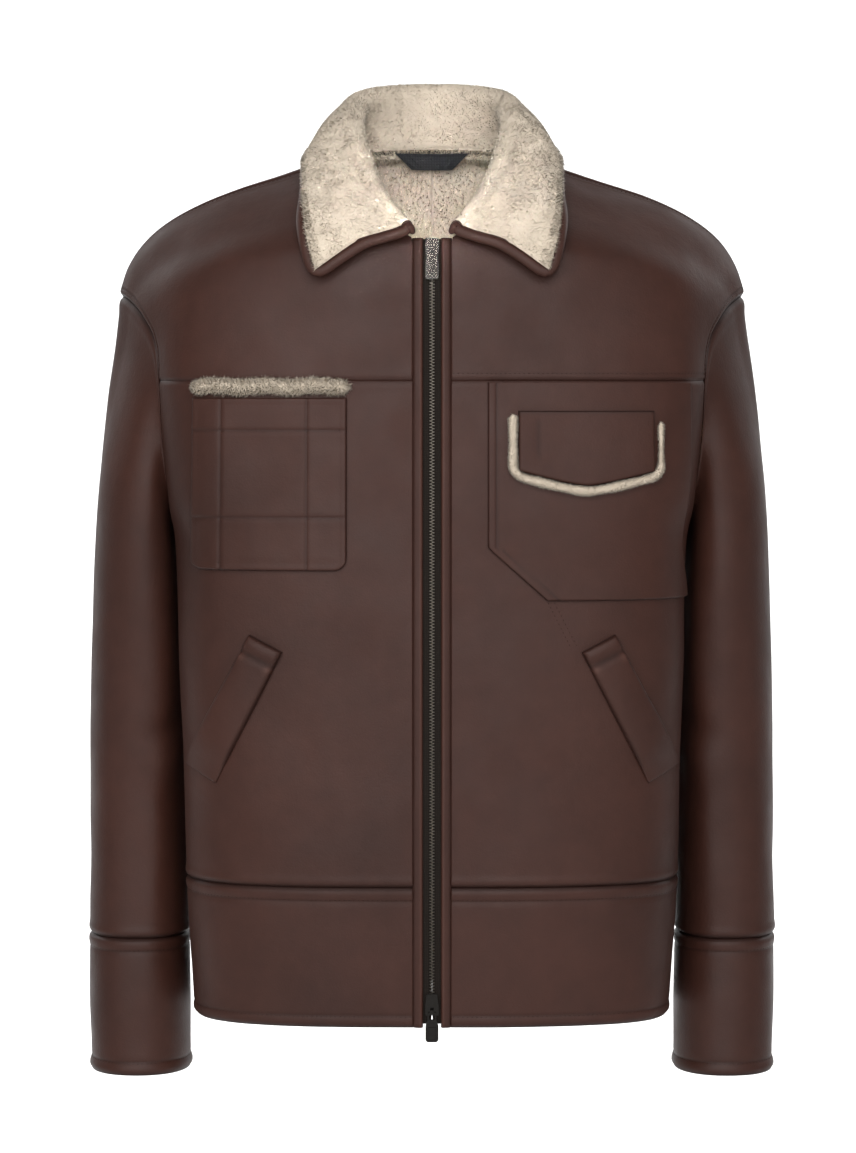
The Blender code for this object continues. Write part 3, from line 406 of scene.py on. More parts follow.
LEATHER = leather_material()
WOOL = wool_material()
FIBRES = fibre_material("wool_fibres", 1.0)
# A lighter copy of the fibres: painted light for the wool inside the neck and at the collar's neck edge, which lie
# in shade.
NECK_FIBRES_PAINTED_LIGHT = fibre_material("inner_wool_fibres_painted_light", 1.72)
GUNMETAL = metal_material("dark_plated_metal", (0.026, 0.024, 0.022), 0.20)
TEETH = metal_material("tooth_metal", (0.115, 0.102, 0.086), 0.36)
TAPE = woven_material("zip_tape_weave", (0.0135, 0.0095, 0.0072), 1400.0)
LOOP_CLOTH = woven_material("loop_weave", (0.020, 0.021, 0.023), 900.0)
THREAD = woven_material("thread", (0.034, 0.014, 0.010), 2400.0)


# Meshes

def add_piece(name, points, faces, materials, slots=None, shade=None, slot="dark_brown_leather",
              stands_for=None, body="jacket", recalculate=True, normals=None):
    """Make one piece of the scene with its materials, attach it to the body it rides on, and hide the part it
    stands for. `slot` is not used.
    """
    mesh = bpy.data.meshes.new(name)
    mesh.from_pydata([tuple(p) for p in points], [], faces)
    for material in materials:
        mesh.materials.append(material)
    if slots is not None:
        mesh.polygons.foreach_set("material_index", np.array(slots, dtype=np.int32))
    if shade is not None:
        layer = mesh.attributes.new("shade", "FLOAT_COLOR", "POINT")
        values = np.ones((len(points), 4), dtype=np.float32)
        values[:, :3] = np.array(shade, dtype=np.float32).reshape(-1, 1)
        layer.data.foreach_set("color", values.ravel())
    if recalculate:
        bm = bmesh.new()
        bm.from_mesh(mesh)
        bmesh.ops.recalc_face_normals(bm, faces=bm.faces)
        bm.to_mesh(mesh)
        bm.free()
    mesh.shade_smooth()
    if normals is not None:
        mesh.normals_split_custom_set_from_vertices([tuple(n) for n in normals])
    piece = bpy.data.objects.new(name, mesh)
    bpy.context.scene.collection.objects.link(piece)
    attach(piece, body)
    if stands_for:
        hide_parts(stands_for)
    return piece


def tube_faces(rings, count):
    """Faces of a closed bar of that many rings, with that many points round each."""
    faces = []
    for start in range(0, (rings - 1) * count, count):
        for a, b in zip(range(count), [*range(1, count), 0]):
            faces.append((start + a, start + b, start + count + b, start + count + a))
    return faces + [tuple(range(count)), tuple(range((rings - 1) * count, rings * count))]


def plate_faces(rows, columns):
    """Faces of a closed plate between two grids of points: top and under side in turn, then the rim.
    The rim runs along the first row, down the last column, back along the last row and up the first column."""
    start = rows * columns
    faces = []
    for i in range(rows - 1):
        for j in range(columns - 1):
            a = i * columns + j
            quad = (a, a + 1, a + columns + 1, a + columns)
            faces += [quad, tuple(start + k for k in reversed(quad))]
    border = [*range(columns), *range(2 * columns - 1, start, columns), *range(start - 2, start - columns - 1, -1),
              *range(start - 2 * columns, 0, -columns)]
    return faces + [(a, b, start + b, start + a) for a, b in zip(border, border[1:] + border[:1])]


def shell_faces(rows, columns, around):
    """Faces of a closed shell whose inner face has every second point of the outer one.
    Returns the faces, whether each is outer (0), inner (1) or rim (2), and the inner grid's shape."""
    spans = columns if around else columns - 1
    inner_rows = (rows + 1) // 2
    inner_columns = columns // 2 if around else (columns + 1) // 2
    start = rows * columns

    def outer(i, j):
        return i * columns + j % columns

    def inner(i, j):
        return start + i * inner_columns + j % inner_columns

    faces, kinds = [], []
    for i in range(rows - 1):
        for j in range(spans):
            faces.append((outer(i, j), outer(i, j + 1), outer(i + 1, j + 1), outer(i + 1, j)))
    kinds += [0] * len(faces)
    for i in range(inner_rows - 1):
        for j in range(spans // 2):
            faces.append((inner(i, j), inner(i + 1, j), inner(i + 1, j + 1), inner(i, j + 1)))
    kinds += [1] * (len(faces) - len(kinds))
    rims = []
    for i, k in ((0, 0), (rows - 1, inner_rows - 1)):
        rims += [(outer(i, 2 * j), outer(i, 2 * j + 1), outer(i, 2 * j + 2), inner(k, j + 1), inner(k, j))
                 for j in range(spans // 2)]
    if not around:
        for j, k in ((0, 0), (columns - 1, inner_columns - 1)):
            rims += [(outer(2 * i, j), outer(2 * i + 1, j), outer(2 * i + 2, j), inner(i + 1, k), inner(i, k))
                     for i in range(inner_rows - 1)]
    faces += rims
    kinds += [2] * len(rims)
    return faces, kinds, (inner_rows, inner_columns)


def at_neckline(points):
    """Which points of the body's first column lie at the neckline, not at the zip or the centre back seam."""
    return (points[..., 2] > NECK_WOOL_FROM) & (points[..., 0] > NECK_CLEAR_OF_MIDDLE)


def add_skin(name, outer, base, directions, wall, shade, side, around=False, wool_at_neck=False):
    """A closed skin for the node of that name: leather outside, wool inside, the wall's depth under the base.
    `side` -1 puts it on the wearer's right."""
    rows, columns = outer.shape[:2]
    faces, kinds, inner_shape = shell_faces(rows, columns, around)
    inner = (base - wall * directions)[::2, ::2]
    points = np.concatenate([outer.reshape(-1, 3), inner.reshape(-1, 3)]) * (side, 1.0, 1.0)
    shades = np.concatenate([shade.ravel(), np.full(inner.shape[0] * inner.shape[1], 0.5)])
    slots = [(0, 1, 0)[kind] for kind in kinds]
    if wool_at_neck:
        first = kinds.index(2) + 2 * ((columns - 1) // 2)
        for i in range(inner_shape[0] - 1):
            if at_neckline(outer[2 * i + 1, 0]):
                slots[first + i] = 1
    piece, tag = name.rsplit("_", 1)
    skin = add_piece(f"{name}_skin", points, faces, (LEATHER, WOOL), slots, shades, stands_for=name)


def spaced(length, step, low, high):
    """Distances from 0 to length, an odd number of them, close together near the ends that carry seams."""
    close = [k * SEAM_STEP for k in range(SEAM_STEPS)]
    start = close if low else [0.0]
    end = [length - d for d in reversed(close)] if high else [length]
    count = max(2, round((end[0] - start[-1]) / step))
    if (len(start) + len(end) + count) % 2:
        count += 1
    return np.array(start + list(np.linspace(start[-1], end[0], count + 1)[1:-1]) + end)


def columns_at(v, low, high):
    """Places across the body at v, spaced in metres."""
    us = np.linspace(0.0, 1.0, 240)
    arc = run_along(body_points([v], us)[0])
    return np.interp(spaced(arc[-1], SKIN_STEP, low, high), arc, us)


def edge_distance(points, edge):
    """How far each point of the grid is from one edge, in metres along the grid."""
    axis = 0 if edge.endswith("row") else 1
    steps = np.linalg.norm(np.diff(points, axis=axis), axis=2)
    start = np.zeros_like(np.take(steps, [0], axis=axis))
    run = np.cumsum(np.concatenate([start, steps], axis=axis), axis=axis)
    return run if edge.startswith("first") else np.take(run, [-1], axis=axis) - run


def seam_relief(distance, stitches=()):
    """How the skin's height changes beside a seam, with rows of stitches at the given distances from it."""
    height = (-ROLL_DROP * bell(distance, ROLL_WIDTH)
              + SWELL_HEIGHT * bell(distance - SWELL_AT, SWELL_WIDTH))
    for at in stitches:
        height -= STITCH_DIP * bell(distance - at, STITCH_DIP_WIDTH)
    return height


def wander(points, scale, seed):
    """Smooth noise between -1 and 1 at each point. `scale` gives the bumps per metre along x, y and z."""
    flat = points.reshape(-1, 3) * scale + seed
    return np.array([noise.noise(Vector(p)) for p in flat]).reshape(points.shape[:-1])


def creases(points, lines):
    """Soft ridges (+) and troughs (-). Each runs between two places in x and z, with a width and a height."""
    height = np.zeros(points.shape[:-1])
    for start, end, width, rise in lines:
        start, end = np.array(start), np.array(end)
        run = end - start
        offset = points[..., [0, 2]] - start
        t = np.clip((offset @ run) / (run @ run), 0.0, 1.0)
        away = np.linalg.norm(offset - t[..., None] * run, axis=-1)
        height += rise * bell(away, width) * np.sin(math.pi * (0.12 + 0.76 * t)) ** 1.5
    return height


# Creases of the body in world x and z: start, end, width, height
FRONT_CREASES = (
    ((-0.172, -0.200), (-0.178, -0.420), 0.020, 0.0022),
    ((-0.150, -0.330), (-0.120, -0.480), 0.026, -0.0014),
    ((-0.062, -0.330), (-0.070, -0.520), 0.030, 0.0012),
    ((0.065, -0.350), (0.078, -0.530), 0.030, 0.0012),
    ((0.110, -0.480), (0.170, -0.545), 0.020, -0.0012),
    ((0.188, -0.330), (0.184, -0.440), 0.014, 0.0014),
    ((-0.190, -0.185), (-0.150, -0.150), 0.014, -0.0012),
    ((0.196, -0.185), (0.150, -0.140), 0.014, -0.0012),
    ((-0.175, -0.510), (-0.120, -0.560), 0.016, -0.0012),
)
BACK_CREASES = (
    ((-0.170, -0.240), (-0.090, -0.330), 0.022, -0.0018),
    ((0.165, -0.225), (0.080, -0.300), 0.024, -0.0018),
    ((-0.120, -0.420), (-0.030, -0.470), 0.024, -0.0014),
    ((0.130, -0.440), (0.040, -0.400), 0.026, 0.0014),
    ((0.020, -0.500), (0.150, -0.530), 0.020, -0.0012),
    ((-0.060, -0.110), (-0.070, -0.260), 0.030, 0.0014),
    ((0.060, -0.120), (0.050, -0.280), 0.030, 0.0012),
)


def body_relief(points, side):
    """The height of the creases and of the skin's slow unevenness over points of the left half."""
    world = points * (side, 1.0, 1.0)
    front = smooth(0.03, -0.03, world[..., 1])
    height = front * creases(world, FRONT_CREASES) + (1.0 - front) * creases(world, BACK_CREASES)
    middle = smooth(0.012, 0.050, points[..., 0]) + smooth(0.0, 0.06, world[..., 1])
    slow = 0.0013 * wander(world, (11.0, 11.0, 5.0), (3.1, 7.7, 1.3))
    fine = 0.0004 * wander(world, (38.0, 38.0, 24.0), (5.3, 0.7, 9.1))
    return np.minimum(middle, 1.0) * (height + slow + fine)


stitch_points, stitch_faces = [], []
STITCH_PITCH = 0.0036
STITCH_LENGTH = 0.0026
STITCH_RADIUS = 0.00042
STITCH_SUNK = 0.0001
LINE_STEP = 0.004


def sew(path, normals, side=1):
    """A row of stitches along a path on the skin."""
    path, normals = np.array(path) * (side, 1.0, 1.0), np.array(normals) * (side, 1.0, 1.0)
    run = run_along(path)
    at = np.arange(STITCH_PITCH / 2, run[-1] - STITCH_PITCH / 2, STITCH_PITCH)
    if len(at) == 0:
        return

    def read(where, values):
        return np.stack([np.interp(where, run, values[:, k]) for k in range(3)], axis=1)

    up = unit(read(at, normals))
    back, ahead = read(at - STITCH_LENGTH / 2, path), read(at + STITCH_LENGTH / 2, path)
    along = unit(ahead - back)
    across = np.cross(along, up)
    middle = (back + ahead) / 2 - STITCH_SUNK * up
    for m, a, c, n in zip(middle, along, across, up):
        start = len(stitch_points)
        stitch_points.extend([m - a * STITCH_LENGTH / 2, m + c * STITCH_RADIUS, m + n * STITCH_RADIUS,
                              m - c * STITCH_RADIUS, m - n * STITCH_RADIUS, m + a * STITCH_LENGTH / 2])
        ring = [start + 1, start + 2, start + 3, start + 4]
        for k in range(4):
            low, high = ring[k], ring[(k + 1) % 4]
            stitch_faces.append((start, high, low))
            stitch_faces.append((start + 5, low, high))


def row_at(points, normals, edge, distance):
    """The line over a grid at a distance from one edge: its points and outward directions."""
    run = edge_distance(points, edge)
    if edge.endswith("column"):
        points, normals, run = points.swapaxes(0, 1), normals.swapaxes(0, 1), run.T
    if edge.startswith("last"):
        points, normals, run = points[::-1], normals[::-1], run[::-1]
    line, lie = [], []
    for j in range(points.shape[1]):
        line.append([np.interp(distance, run[:, j], points[:, j, k]) for k in range(3)])
        lie.append([np.interp(distance, run[:, j], normals[:, j, k]) for k in range(3)])
    return np.array(line), unit(np.array(lie))


# Body panels: the stretch, the edges that are seams, and each edge's rows of stitches for right and left.
PANELS = {
    "waistband_front": ("front_hem", "front_band", {
        "first_row": ((0.0095,), (0.0095,)), "last_row": ((0.0105,), (0.0105,)), "last_column": ((), ())}),
    "front_panel": ("front_band", "yoke", {
        "first_row": ((), ()), "last_row": ((), ()), "last_column": ((), ())}),
    "front_yoke": ("yoke", "shoulder", {
        "first_row": ((), (0.0055,)), "last_row": ((0.0055,), (0.0055,)), "last_column": ((0.006,), (0.006,))}),
    "back": ("shoulder", "back_band", {
        "first_row": ((), ()), "last_row": ((), ()), "first_column": ((0.005,), (0.005,)),
        "last_column": ((), ())}),
    "waistband_back": ("back_band", "back_hem", {
        "first_row": ((0.0105,), (0.0105,)), "last_row": ((0.0095,), (0.0095,)),
        "first_column": ((0.005,), (0.005,)), "last_column": ((), ())}),
}
CALM_SEAMS = (("front_panel", "last_row"), ("front_yoke", "first_row"))
CALM = 0.45


def skin_of(name, side):
    """The outer points, outward directions and shade of one body panel."""
    start, end, seams = PANELS[name]
    heights = spaced(AT[end] - AT[start], SKIN_STEP, "first_row" in seams, "last_row" in seams)
    vs = AT[start] + heights
    us = columns_at((vs[0] + vs[-1]) / 2, True, "last_column" in seams)
    points, normals = body_points(vs, us), body_normals(vs, us)
    height = body_relief(points, side)
    # groove gathers painted shade for the seams' grooves and the stitch rows; the skin's colour is darker there.
    groove = np.zeros(points.shape[:2])
    for edge, stitches in seams.items():
        distance = edge_distance(points, edge)
        calm = CALM if (name, edge) in CALM_SEAMS else 1.0
        height = height + calm * seam_relief(distance, stitches[side > 0])
        groove += calm * bell(distance, 0.0022)
        for at in stitches[side > 0]:
            groove += 0.35 * calm * bell(distance - at, 0.0012)
    outer = points + height[..., None] * normals
    for edge, stitches in seams.items():
        for at in stitches[side > 0]:
            line, lie = row_at(outer, normals, edge, at)
            sew(line, lie, side)
    shade = np.clip(0.5 - 0.5 * groove, 0.0, 1.0)
    return outer, points, normals, shade


for side, tag in SIDES:
    for name in PANELS:
        outer, base, directions, shade = skin_of(name, side)
        add_skin(f"{name}_{tag}", outer, base, directions, WALL_BODY, shade, side,
                 wool_at_neck=name in ("front_yoke", "back"))


# Sleeves and cuffs

def ring_points(ring, turns):
    """Points of a sleeve ring: turn 0 is the inner point, 0.25 front, 0.5 outer and 0.75 back."""
    outer_x, outer_z, inner_x, inner_z, middle_y, front, back, squareness = ring
    c, s = -np.cos(2 * math.pi * turns), np.sin(2 * math.pi * turns)
    c = np.sign(c) * np.abs(c) ** squareness
    s = np.sign(s) * np.abs(s) ** squareness
    depth = np.where(s > 0, front, back)
    return np.stack([((outer_x + inner_x) + (outer_x - inner_x) * c) / 2, middle_y - depth * s,
                     ((outer_z + inner_z) + (outer_z - inner_z) * c) / 2], axis=-1)


def ring_knots(rings):
    """Running length down the sleeve's rings, from their outer and inner points."""
    middles = np.array([((r[0] + r[2]) / 2, (r[1] + r[3]) / 2) for r in rings])
    return run_along(middles)


SLEEVE_ROUND = 112
# Creases of a sleeve: start and end as metres round from the inner point and metres down, width and height
SLEEVE_CREASES = (
    ((0.060, 0.030), (0.085, 0.420), 0.016, 0.0022),
    ((0.030, 0.060), (0.030, 0.400), 0.016, -0.0016),
    ((0.135, 0.060), (0.125, 0.400), 0.022, -0.0016),
    ((0.020, 0.215), (0.110, 0.255), 0.011, -0.0020),
    ((0.015, 0.250), (0.100, 0.275), 0.010, 0.0014),
    ((0.020, 0.290), (0.090, 0.300), 0.011, -0.0014),
    ((0.300, 0.060), (0.310, 0.380), 0.022, -0.0020),
    ((0.350, 0.200), (0.280, 0.300), 0.014, -0.0022),
    ((0.360, 0.240), (0.300, 0.330), 0.012, 0.0016),
    ((0.190, 0.330), (0.250, 0.410), 0.016, -0.0012),
)


def armhole():
    """The armhole's loop on the body: points, outward directions and how far round the sleeve each lies."""
    half = SLEEVE_ROUND // 2
    vs = np.concatenate([np.linspace(AT["front_armpit"], AT["shoulder"], half + 1)[:-1],
                         np.linspace(AT["shoulder"], AT["back_armpit"], half + 1)[:-1]])
    points, normals = body_points(vs, np.array([1.0]))[:, 0], body_normals(vs, np.array([1.0]))[:, 0]
    run = np.concatenate([[0.0], np.cumsum(np.linalg.norm(np.roll(points, -1, axis=0) - points, axis=1))])
    turns = np.where(np.arange(len(vs)) <= half, run[:-1] / run[half] / 2,
                     0.5 + (run[:-1] - run[half]) / (run[-1] - run[half]) / 2)
    return points, normals, turns


def ring_normals(grid):
    """Outward directions over closed rings of points, by differences between neighbours."""
    along = np.roll(grid, -1, axis=1) - np.roll(grid, 1, axis=1)
    return unit(np.cross(np.gradient(grid, axis=0), along))


def sleeve_skin(side):
    """The sleeve from the armhole down to the cuff seam: points, directions and shade."""
    points, normals, turns = armhole()
    half = SLEEVE_ROUND // 2
    tip, pit = points[half], points[0]
    rings = np.array([(tip[0], tip[2], pit[0], pit[2], *ARMHOLE_RING)] + list(SLEEVE_RINGS.values()))
    knots = ring_knots(rings)
    residual = points - ring_points(rings[0], turns)
    places = spaced(knots[-1], 0.0048, True, True)
    outer = np.array([ring_points(through(rings, knots, at), turns)
                      + (1.0 - smooth(0.0, knots[HEAD_SETTLES_AT], at)) * residual for at in places])
    directions = ring_normals(outer)
    angle = np.degrees(np.arccos(np.clip((directions[0] * normals).sum(axis=1), -1, 1)))
    own = smooth(20.0, 60.0, angle)[:, None]
    for i in range(4):
        share = (1 - own) * (1 - i / 4)
        directions[i] = unit((1 - share) * directions[i] + share * normals)
    flat = np.zeros(outer.shape)
    flat[..., 0] = turns[None, :] * 0.44
    flat[..., 2] = places[:, None]
    world = outer * (side, 1.0, 1.0)
    height = creases(flat, SLEEVE_CREASES) * smooth(0.0, 0.05, places)[:, None]
    height += 0.0016 * wander(world, (13.0, 13.0, 4.5), (2.2, 4.1, 8.4)) * smooth(0.0, 0.06, places)[:, None]
    height += 0.0004 * wander(world, (40.0, 40.0, 24.0), (1.9, 6.3, 2.8))
    near, far = places[:, None], knots[-1] - places[:, None]
    height = height + seam_relief(near) + seam_relief(far)
    # Painted shade: the skin is darker along both seams.
    shade = np.clip(0.5 - 0.5 * (bell(near, SEAM_SHADE) + bell(far, SEAM_SHADE))
                    + np.zeros(outer.shape[:2]), 0.0, 1.0)
    outer = outer + height[..., None] * directions
    return outer, directions, shade


def cuff_skin(side):
    """The cuff below its seam: points, directions and shade."""
    turns = armhole()[2]
    rings = np.array(list(CUFF_RINGS.values()))
    knots = ring_knots(rings)
    places = spaced(knots[-1], 0.0040, True, True)
    outer = np.array([ring_points(through(rings, knots, at), turns) for at in places])
    directions = ring_normals(outer)
    world = outer * (side, 1.0, 1.0)
    height = 0.0008 * wander(world, (16.0, 16.0, 8.0), (7.2, 1.1, 3.4))
    near, far = places[:, None], knots[-1] - places[:, None]
    height = height + seam_relief(near, (0.0105,)) + seam_relief(far, (0.0100,))
    outer = outer + height[..., None] * directions
    # Painted shade in the seams and along the stitch rows.
    dark = bell(near, 0.0026) + bell(far, 0.0020)
    for at in (near - 0.0105, far - 0.0100):
        dark = dark + 0.45 * bell(at, 0.0012)
    shade = np.clip(0.5 - 0.5 * dark + np.zeros(outer.shape[:2]), 0.0, 1.0)
    for edge, at in (("first_row", 0.0105), ("last_row", 0.0100)):
        line, lie = row_at(outer, directions, edge, at)
        sew(np.concatenate([line, line[:1]]), np.concatenate([lie, lie[:1]]), side)
    return outer, directions, shade


for side, tag in SIDES:
    for name, make in (("sleeve", sleeve_skin), ("cuff", cuff_skin)):
        outer, directions, shade = make(side)
        add_skin(f"{name}_{tag}", outer, outer, directions, WALL_SLEEVE, shade, side, around=True)


# What is laid on the fronts

def surface_at(target, axes, start):
    """The point and outward direction of the left half's outer face where two coordinates are given."""
    at = np.array([AT[start[0]], start[1]])
    e = 1e-4

    def read(v, u):
        return body_points([v], np.array([u]))[0, 0]

    for _ in range(14):
        here = read(*at)[list(axes)]
        slopes = np.column_stack([(read(at[0] + e, at[1])[list(axes)] - here) / e,
                                  (read(at[0], at[1] + e)[list(axes)] - here) / e])
        at = at + np.clip(np.linalg.solve(slopes, np.array(target) - here), -0.06, 0.06)
        at[1] = np.clip(at[1], 0.0, 0.999)
    return read(*at), body_normals([at[0]], np.array([at[1]]))[0, 0]


def front_map(z_low, z_high):
    """A fine net over the front between two heights, to look places up on."""
    vs = np.linspace(AT["front_band"], AT["bust"], 150)
    us = np.linspace(0.0, 0.985, 110)
    points, normals = body_points(vs, us), body_normals(vs, us)
    keep = (points[:, 0, 2] > z_low) & (points[:, 0, 2] < z_high)
    return points[keep], normals[keep]


FRONT_NET = front_map(-0.56, -0.12)


def on_front(xs, zs):
    """Points and outward directions on the front at world x and z, given as left-half places."""
    points, normals = FRONT_NET
    out_points, out_normals = [], []
    heights = points[..., 2]
    for x, z in zip(np.ravel(xs), np.ravel(zs)):
        column = np.array([np.interp(z, heights[:, j], points[:, j, 0]) for j in range(0, points.shape[1], 6)])
        near = int(np.clip(np.searchsorted(column, x) - 1, 0, len(column) - 2)) * 6
        js = range(near, min(near + 7, points.shape[1]))
        line = np.array([[np.interp(z, heights[:, j], points[:, j, k]) for k in range(3)] for j in js])
        lie = np.array([[np.interp(z, heights[:, j], normals[:, j, k]) for k in range(3)] for j in js])
        out_points.append([np.interp(x, line[:, 0], line[:, k]) for k in range(3)])
        out_normals.append([np.interp(x, line[:, 0], lie[:, k]) for k in range(3)])
    shape = np.shape(xs) + (3,)
    return np.array(out_points).reshape(shape), unit(np.array(out_normals).reshape(shape))


def laid(xs, zs, lift, side):
    """Points over places on the front, moved out by the lift and by the relief of the skin below."""
    points, normals = on_front(xs, zs)
    height = lift + np.maximum(body_relief(points, side), -0.0004)
    return points + np.asarray(height)[..., None] * normals, normals


def edged(low, high, step, close=(0.0, 0.0007, 0.0014, 0.0022, 0.0032, 0.0046, 0.0062)):
    """Places from low to high, close together at both ends."""
    middle = np.linspace(low + close[-1], high - close[-1],
                         max(3, round((high - low - 2 * close[-1]) / step) + 1))
    return np.concatenate([low + np.array(close[:-1]), middle, high - np.array(close[-2::-1])])


def rounded(distance, thickness, radius=0.0016):
    """The height of a turned edge of that thickness at a distance from it."""
    t = np.clip(distance / radius, 0.0, 1.0)
    return thickness * np.sqrt(np.clip(1.0 - (1.0 - t) ** 2, 0.0, 1.0))


def closed_patch(name, top, under, shade, side, materials=(LEATHER,), **options):
    """A closed piece between a top and an under grid of the same shape."""
    faces = plate_faces(*top.shape[:2])
    points = np.concatenate([top.reshape(-1, 3), under.reshape(-1, 3)]) * (side, 1.0, 1.0)
    shades = np.concatenate([shade.ravel(), shade.ravel()])
    return add_piece(name, points, faces, materials, None, shades, **options)


POCKET_X = (0.0650, 0.1840)
POCKET_Z = (-0.1885, -0.3205)
POCKET_CORNER = 0.010
POCKET_THICKNESS = 0.0030
POCKET_SEAMS_X = (0.0955, 0.1610)
POCKET_SEAMS_Z = (-0.2135, -0.2800)
CHEST_EDGE_X = 0.0425
CHEST_CORNER_Z = -0.303
CHEST_FOOT = (0.0880, -0.3435)
CHEST_THICKNESS = 0.0016
FLAP_X = (0.0655, 0.1690)
FLAP_TOP_Z = -0.1985
FLAP_SIDE_Z = -0.2445
FLAP_POINT = (0.1180, -0.2560)
FLAP_THICKNESS = 0.0030
FLAP_TRIM_RADIUS = 0.0038
WELT_TOP = (0.1270, -0.3760)
WELT_FOOT = (0.1790, -0.4780)
WELT_WIDTH = 0.029
WELT_THICKNESS = 0.0065


def sew_line(places, lift, side):
    """Stitches along a line of world places (as left-half x and z) on the front."""
    places = np.array(places)
    run = run_along(places)
    at = np.linspace(0.0, run[-1], max(2, int(run[-1] / LINE_STEP)))
    xs, zs = np.interp(at, run, places[:, 0]), np.interp(at, run, places[:, 1])
    points, normals = laid(xs, zs, lift, side)
    sew(points, normals, side)


def make_patch_pocket():
    """The patch pocket: a quilted square with two seams each way, turned edges and round lower corners."""
    xs = edged(*POCKET_X, 0.0030)
    for seam in POCKET_SEAMS_X:
        xs = np.concatenate([xs, seam + np.array([-0.0018, -0.0009, 0.0, 0.0009, 0.0018])])
    xs = np.unique(np.round(xs, 5))
    ts = edged(0.0, POCKET_Z[0] - POCKET_Z[1], 0.0030)
    for seam in POCKET_SEAMS_Z:
        ts = np.concatenate([ts, POCKET_Z[0] - seam + np.array([-0.0018, -0.0009, 0.0, 0.0009, 0.0018])])
    ts = np.unique(np.round(ts, 5)) / (POCKET_Z[0] - POCKET_Z[1])
    past = np.maximum(0.0, POCKET_CORNER - np.minimum(xs - POCKET_X[0], POCKET_X[1] - xs))
    bottom = POCKET_Z[1] + POCKET_CORNER - np.sqrt(POCKET_CORNER ** 2 - past ** 2)
    x_grid = np.broadcast_to(xs, (len(ts), len(xs)))
    z_grid = POCKET_Z[0] + ts[:, None] * (bottom - POCKET_Z[0])
    edge = np.minimum(np.minimum(x_grid - POCKET_X[0], POCKET_X[1] - x_grid), z_grid - bottom)
    edge = np.minimum(edge, POCKET_Z[0] - z_grid)
    lift = CURVE_GAP + rounded(edge, POCKET_THICKNESS - CURVE_GAP + 0.0004)
    # Painted shade along the turned edge and in the quilting seams.
    dark = 0.6 * bell(edge, 0.0010)
    for across, places in ((x_grid, POCKET_SEAMS_X), (z_grid, POCKET_SEAMS_Z)):
        for place in places:
            line = bell(across - place, 0.0014)
            lift = lift - 0.0008 * line
            lift = lift + 0.0004 * bell(across - place, 0.006)
            dark = dark + 0.38 * line
    lift = lift - 0.0005 * bell(edge - 0.0055, 0.0011)
    lift = lift + 0.0005 * wander(np.stack([x_grid, z_grid, 0 * z_grid], -1), (40.0, 40.0, 1.0), (2.0, 5.0, 1.0))
    top, _ = laid(x_grid, z_grid, np.maximum(lift, CURVE_GAP + 0.0002), -1)
    under, _ = laid(x_grid, z_grid, CURVE_GAP * 0.5, -1)
    pocket = closed_patch("patch_pocket_skin", top, under, np.clip(0.5 - 0.5 * dark, 0, 1), -1,
                          stands_for="patch_pocket")
    ring = [(POCKET_X[0] + 0.0055, POCKET_Z[0] - 0.001), (POCKET_X[0] + 0.0055, POCKET_Z[1] + 0.014),
            (POCKET_X[0] + 0.008, POCKET_Z[1] + 0.008), (POCKET_X[0] + 0.014, POCKET_Z[1] + 0.0055),
            (POCKET_X[1] - 0.014, POCKET_Z[1] + 0.0055), (POCKET_X[1] - 0.008, POCKET_Z[1] + 0.008),
            (POCKET_X[1] - 0.0055, POCKET_Z[1] + 0.014), (POCKET_X[1] - 0.0055, POCKET_Z[0] - 0.001)]
    sew_line(ring, POCKET_THICKNESS - 0.0002, -1)


def flap_bottom(x):
    """The height of the flap's lower edge at x: a shallow point below its middle."""
    t = np.abs(x - FLAP_POINT[0]) / (FLAP_POINT[0] - FLAP_X[0])
    return FLAP_SIDE_Z + (FLAP_POINT[1] - FLAP_SIDE_Z) * (1.0 - np.minimum(t, 1.0) ** 1.3)


CHEST_HIGH_Z = -0.1768
CHEST_LOW_Z = -0.3435
CHEST_OUTER_X = 0.1985
CHEST_LINE = 0.0068
CHEST_WIDTH = 0.155


def make_chest_panel():
    """The panel that laps over the left front, with a row of stitches inside its edge."""
    zs = edged(CHEST_LOW_Z, CHEST_HIGH_Z, 0.0035)
    by_the_line = CHEST_LINE + np.array([-0.001, 0.0, 0.001])
    ts = np.unique(np.concatenate([edged(0.0, CHEST_WIDTH, 0.0035), by_the_line])) / CHEST_WIDTH
    edge_x = CHEST_EDGE_X + np.clip((CHEST_CORNER_Z - zs) / (CHEST_CORNER_Z - CHEST_FOOT[1]), 0, 1) * (
        CHEST_FOOT[0] - CHEST_EDGE_X)
    outer_x = CHEST_OUTER_X - 0.006 * bell(zs + 0.300, 0.03)
    x_grid = edge_x[:, None] + ts * (outer_x - edge_x)[:, None]
    z_grid = np.broadcast_to(zs[:, None], x_grid.shape)
    slant = np.where(z_grid < CHEST_CORNER_Z, 0.72, 1.0)
    inner = (x_grid - edge_x[:, None]) * slant
    edge = np.minimum(inner, z_grid - CHEST_LOW_Z)
    lift = CURVE_GAP * 0.6 + rounded(edge, CHEST_THICKNESS + 0.0006)
    line = bell(inner - CHEST_LINE, 0.0010)
    lift = lift - 0.0006 * line
    # Painted shade under the edge and along the stitch line.
    dark = 0.8 * bell(edge, 0.0009) + 0.6 * line
    top, _ = laid(x_grid, z_grid, np.maximum(lift, 0.0004), 1)
    under, _ = laid(x_grid, z_grid, 0.0002, 1)
    panel = closed_patch("chest_panel_skin", top, under, np.clip(0.5 - 0.5 * dark, 0, 1), 1,
                         stands_for="chest_panel")
    inset = CHEST_EDGE_X + CHEST_LINE
    sew_line(((inset, CHEST_HIGH_Z), (inset, CHEST_CORNER_Z + 0.001), (CHEST_FOOT[0] + 0.004, CHEST_LOW_Z)),
             CURVE_GAP * 0.6 + CHEST_THICKNESS - 0.0004, 1)
    for aside in (0.0, 0.0050):
        sew_line(((CHEST_FOOT[0] + aside, CHEST_LOW_Z), (0.1060 + aside, -0.3790)), 0.0, 1)


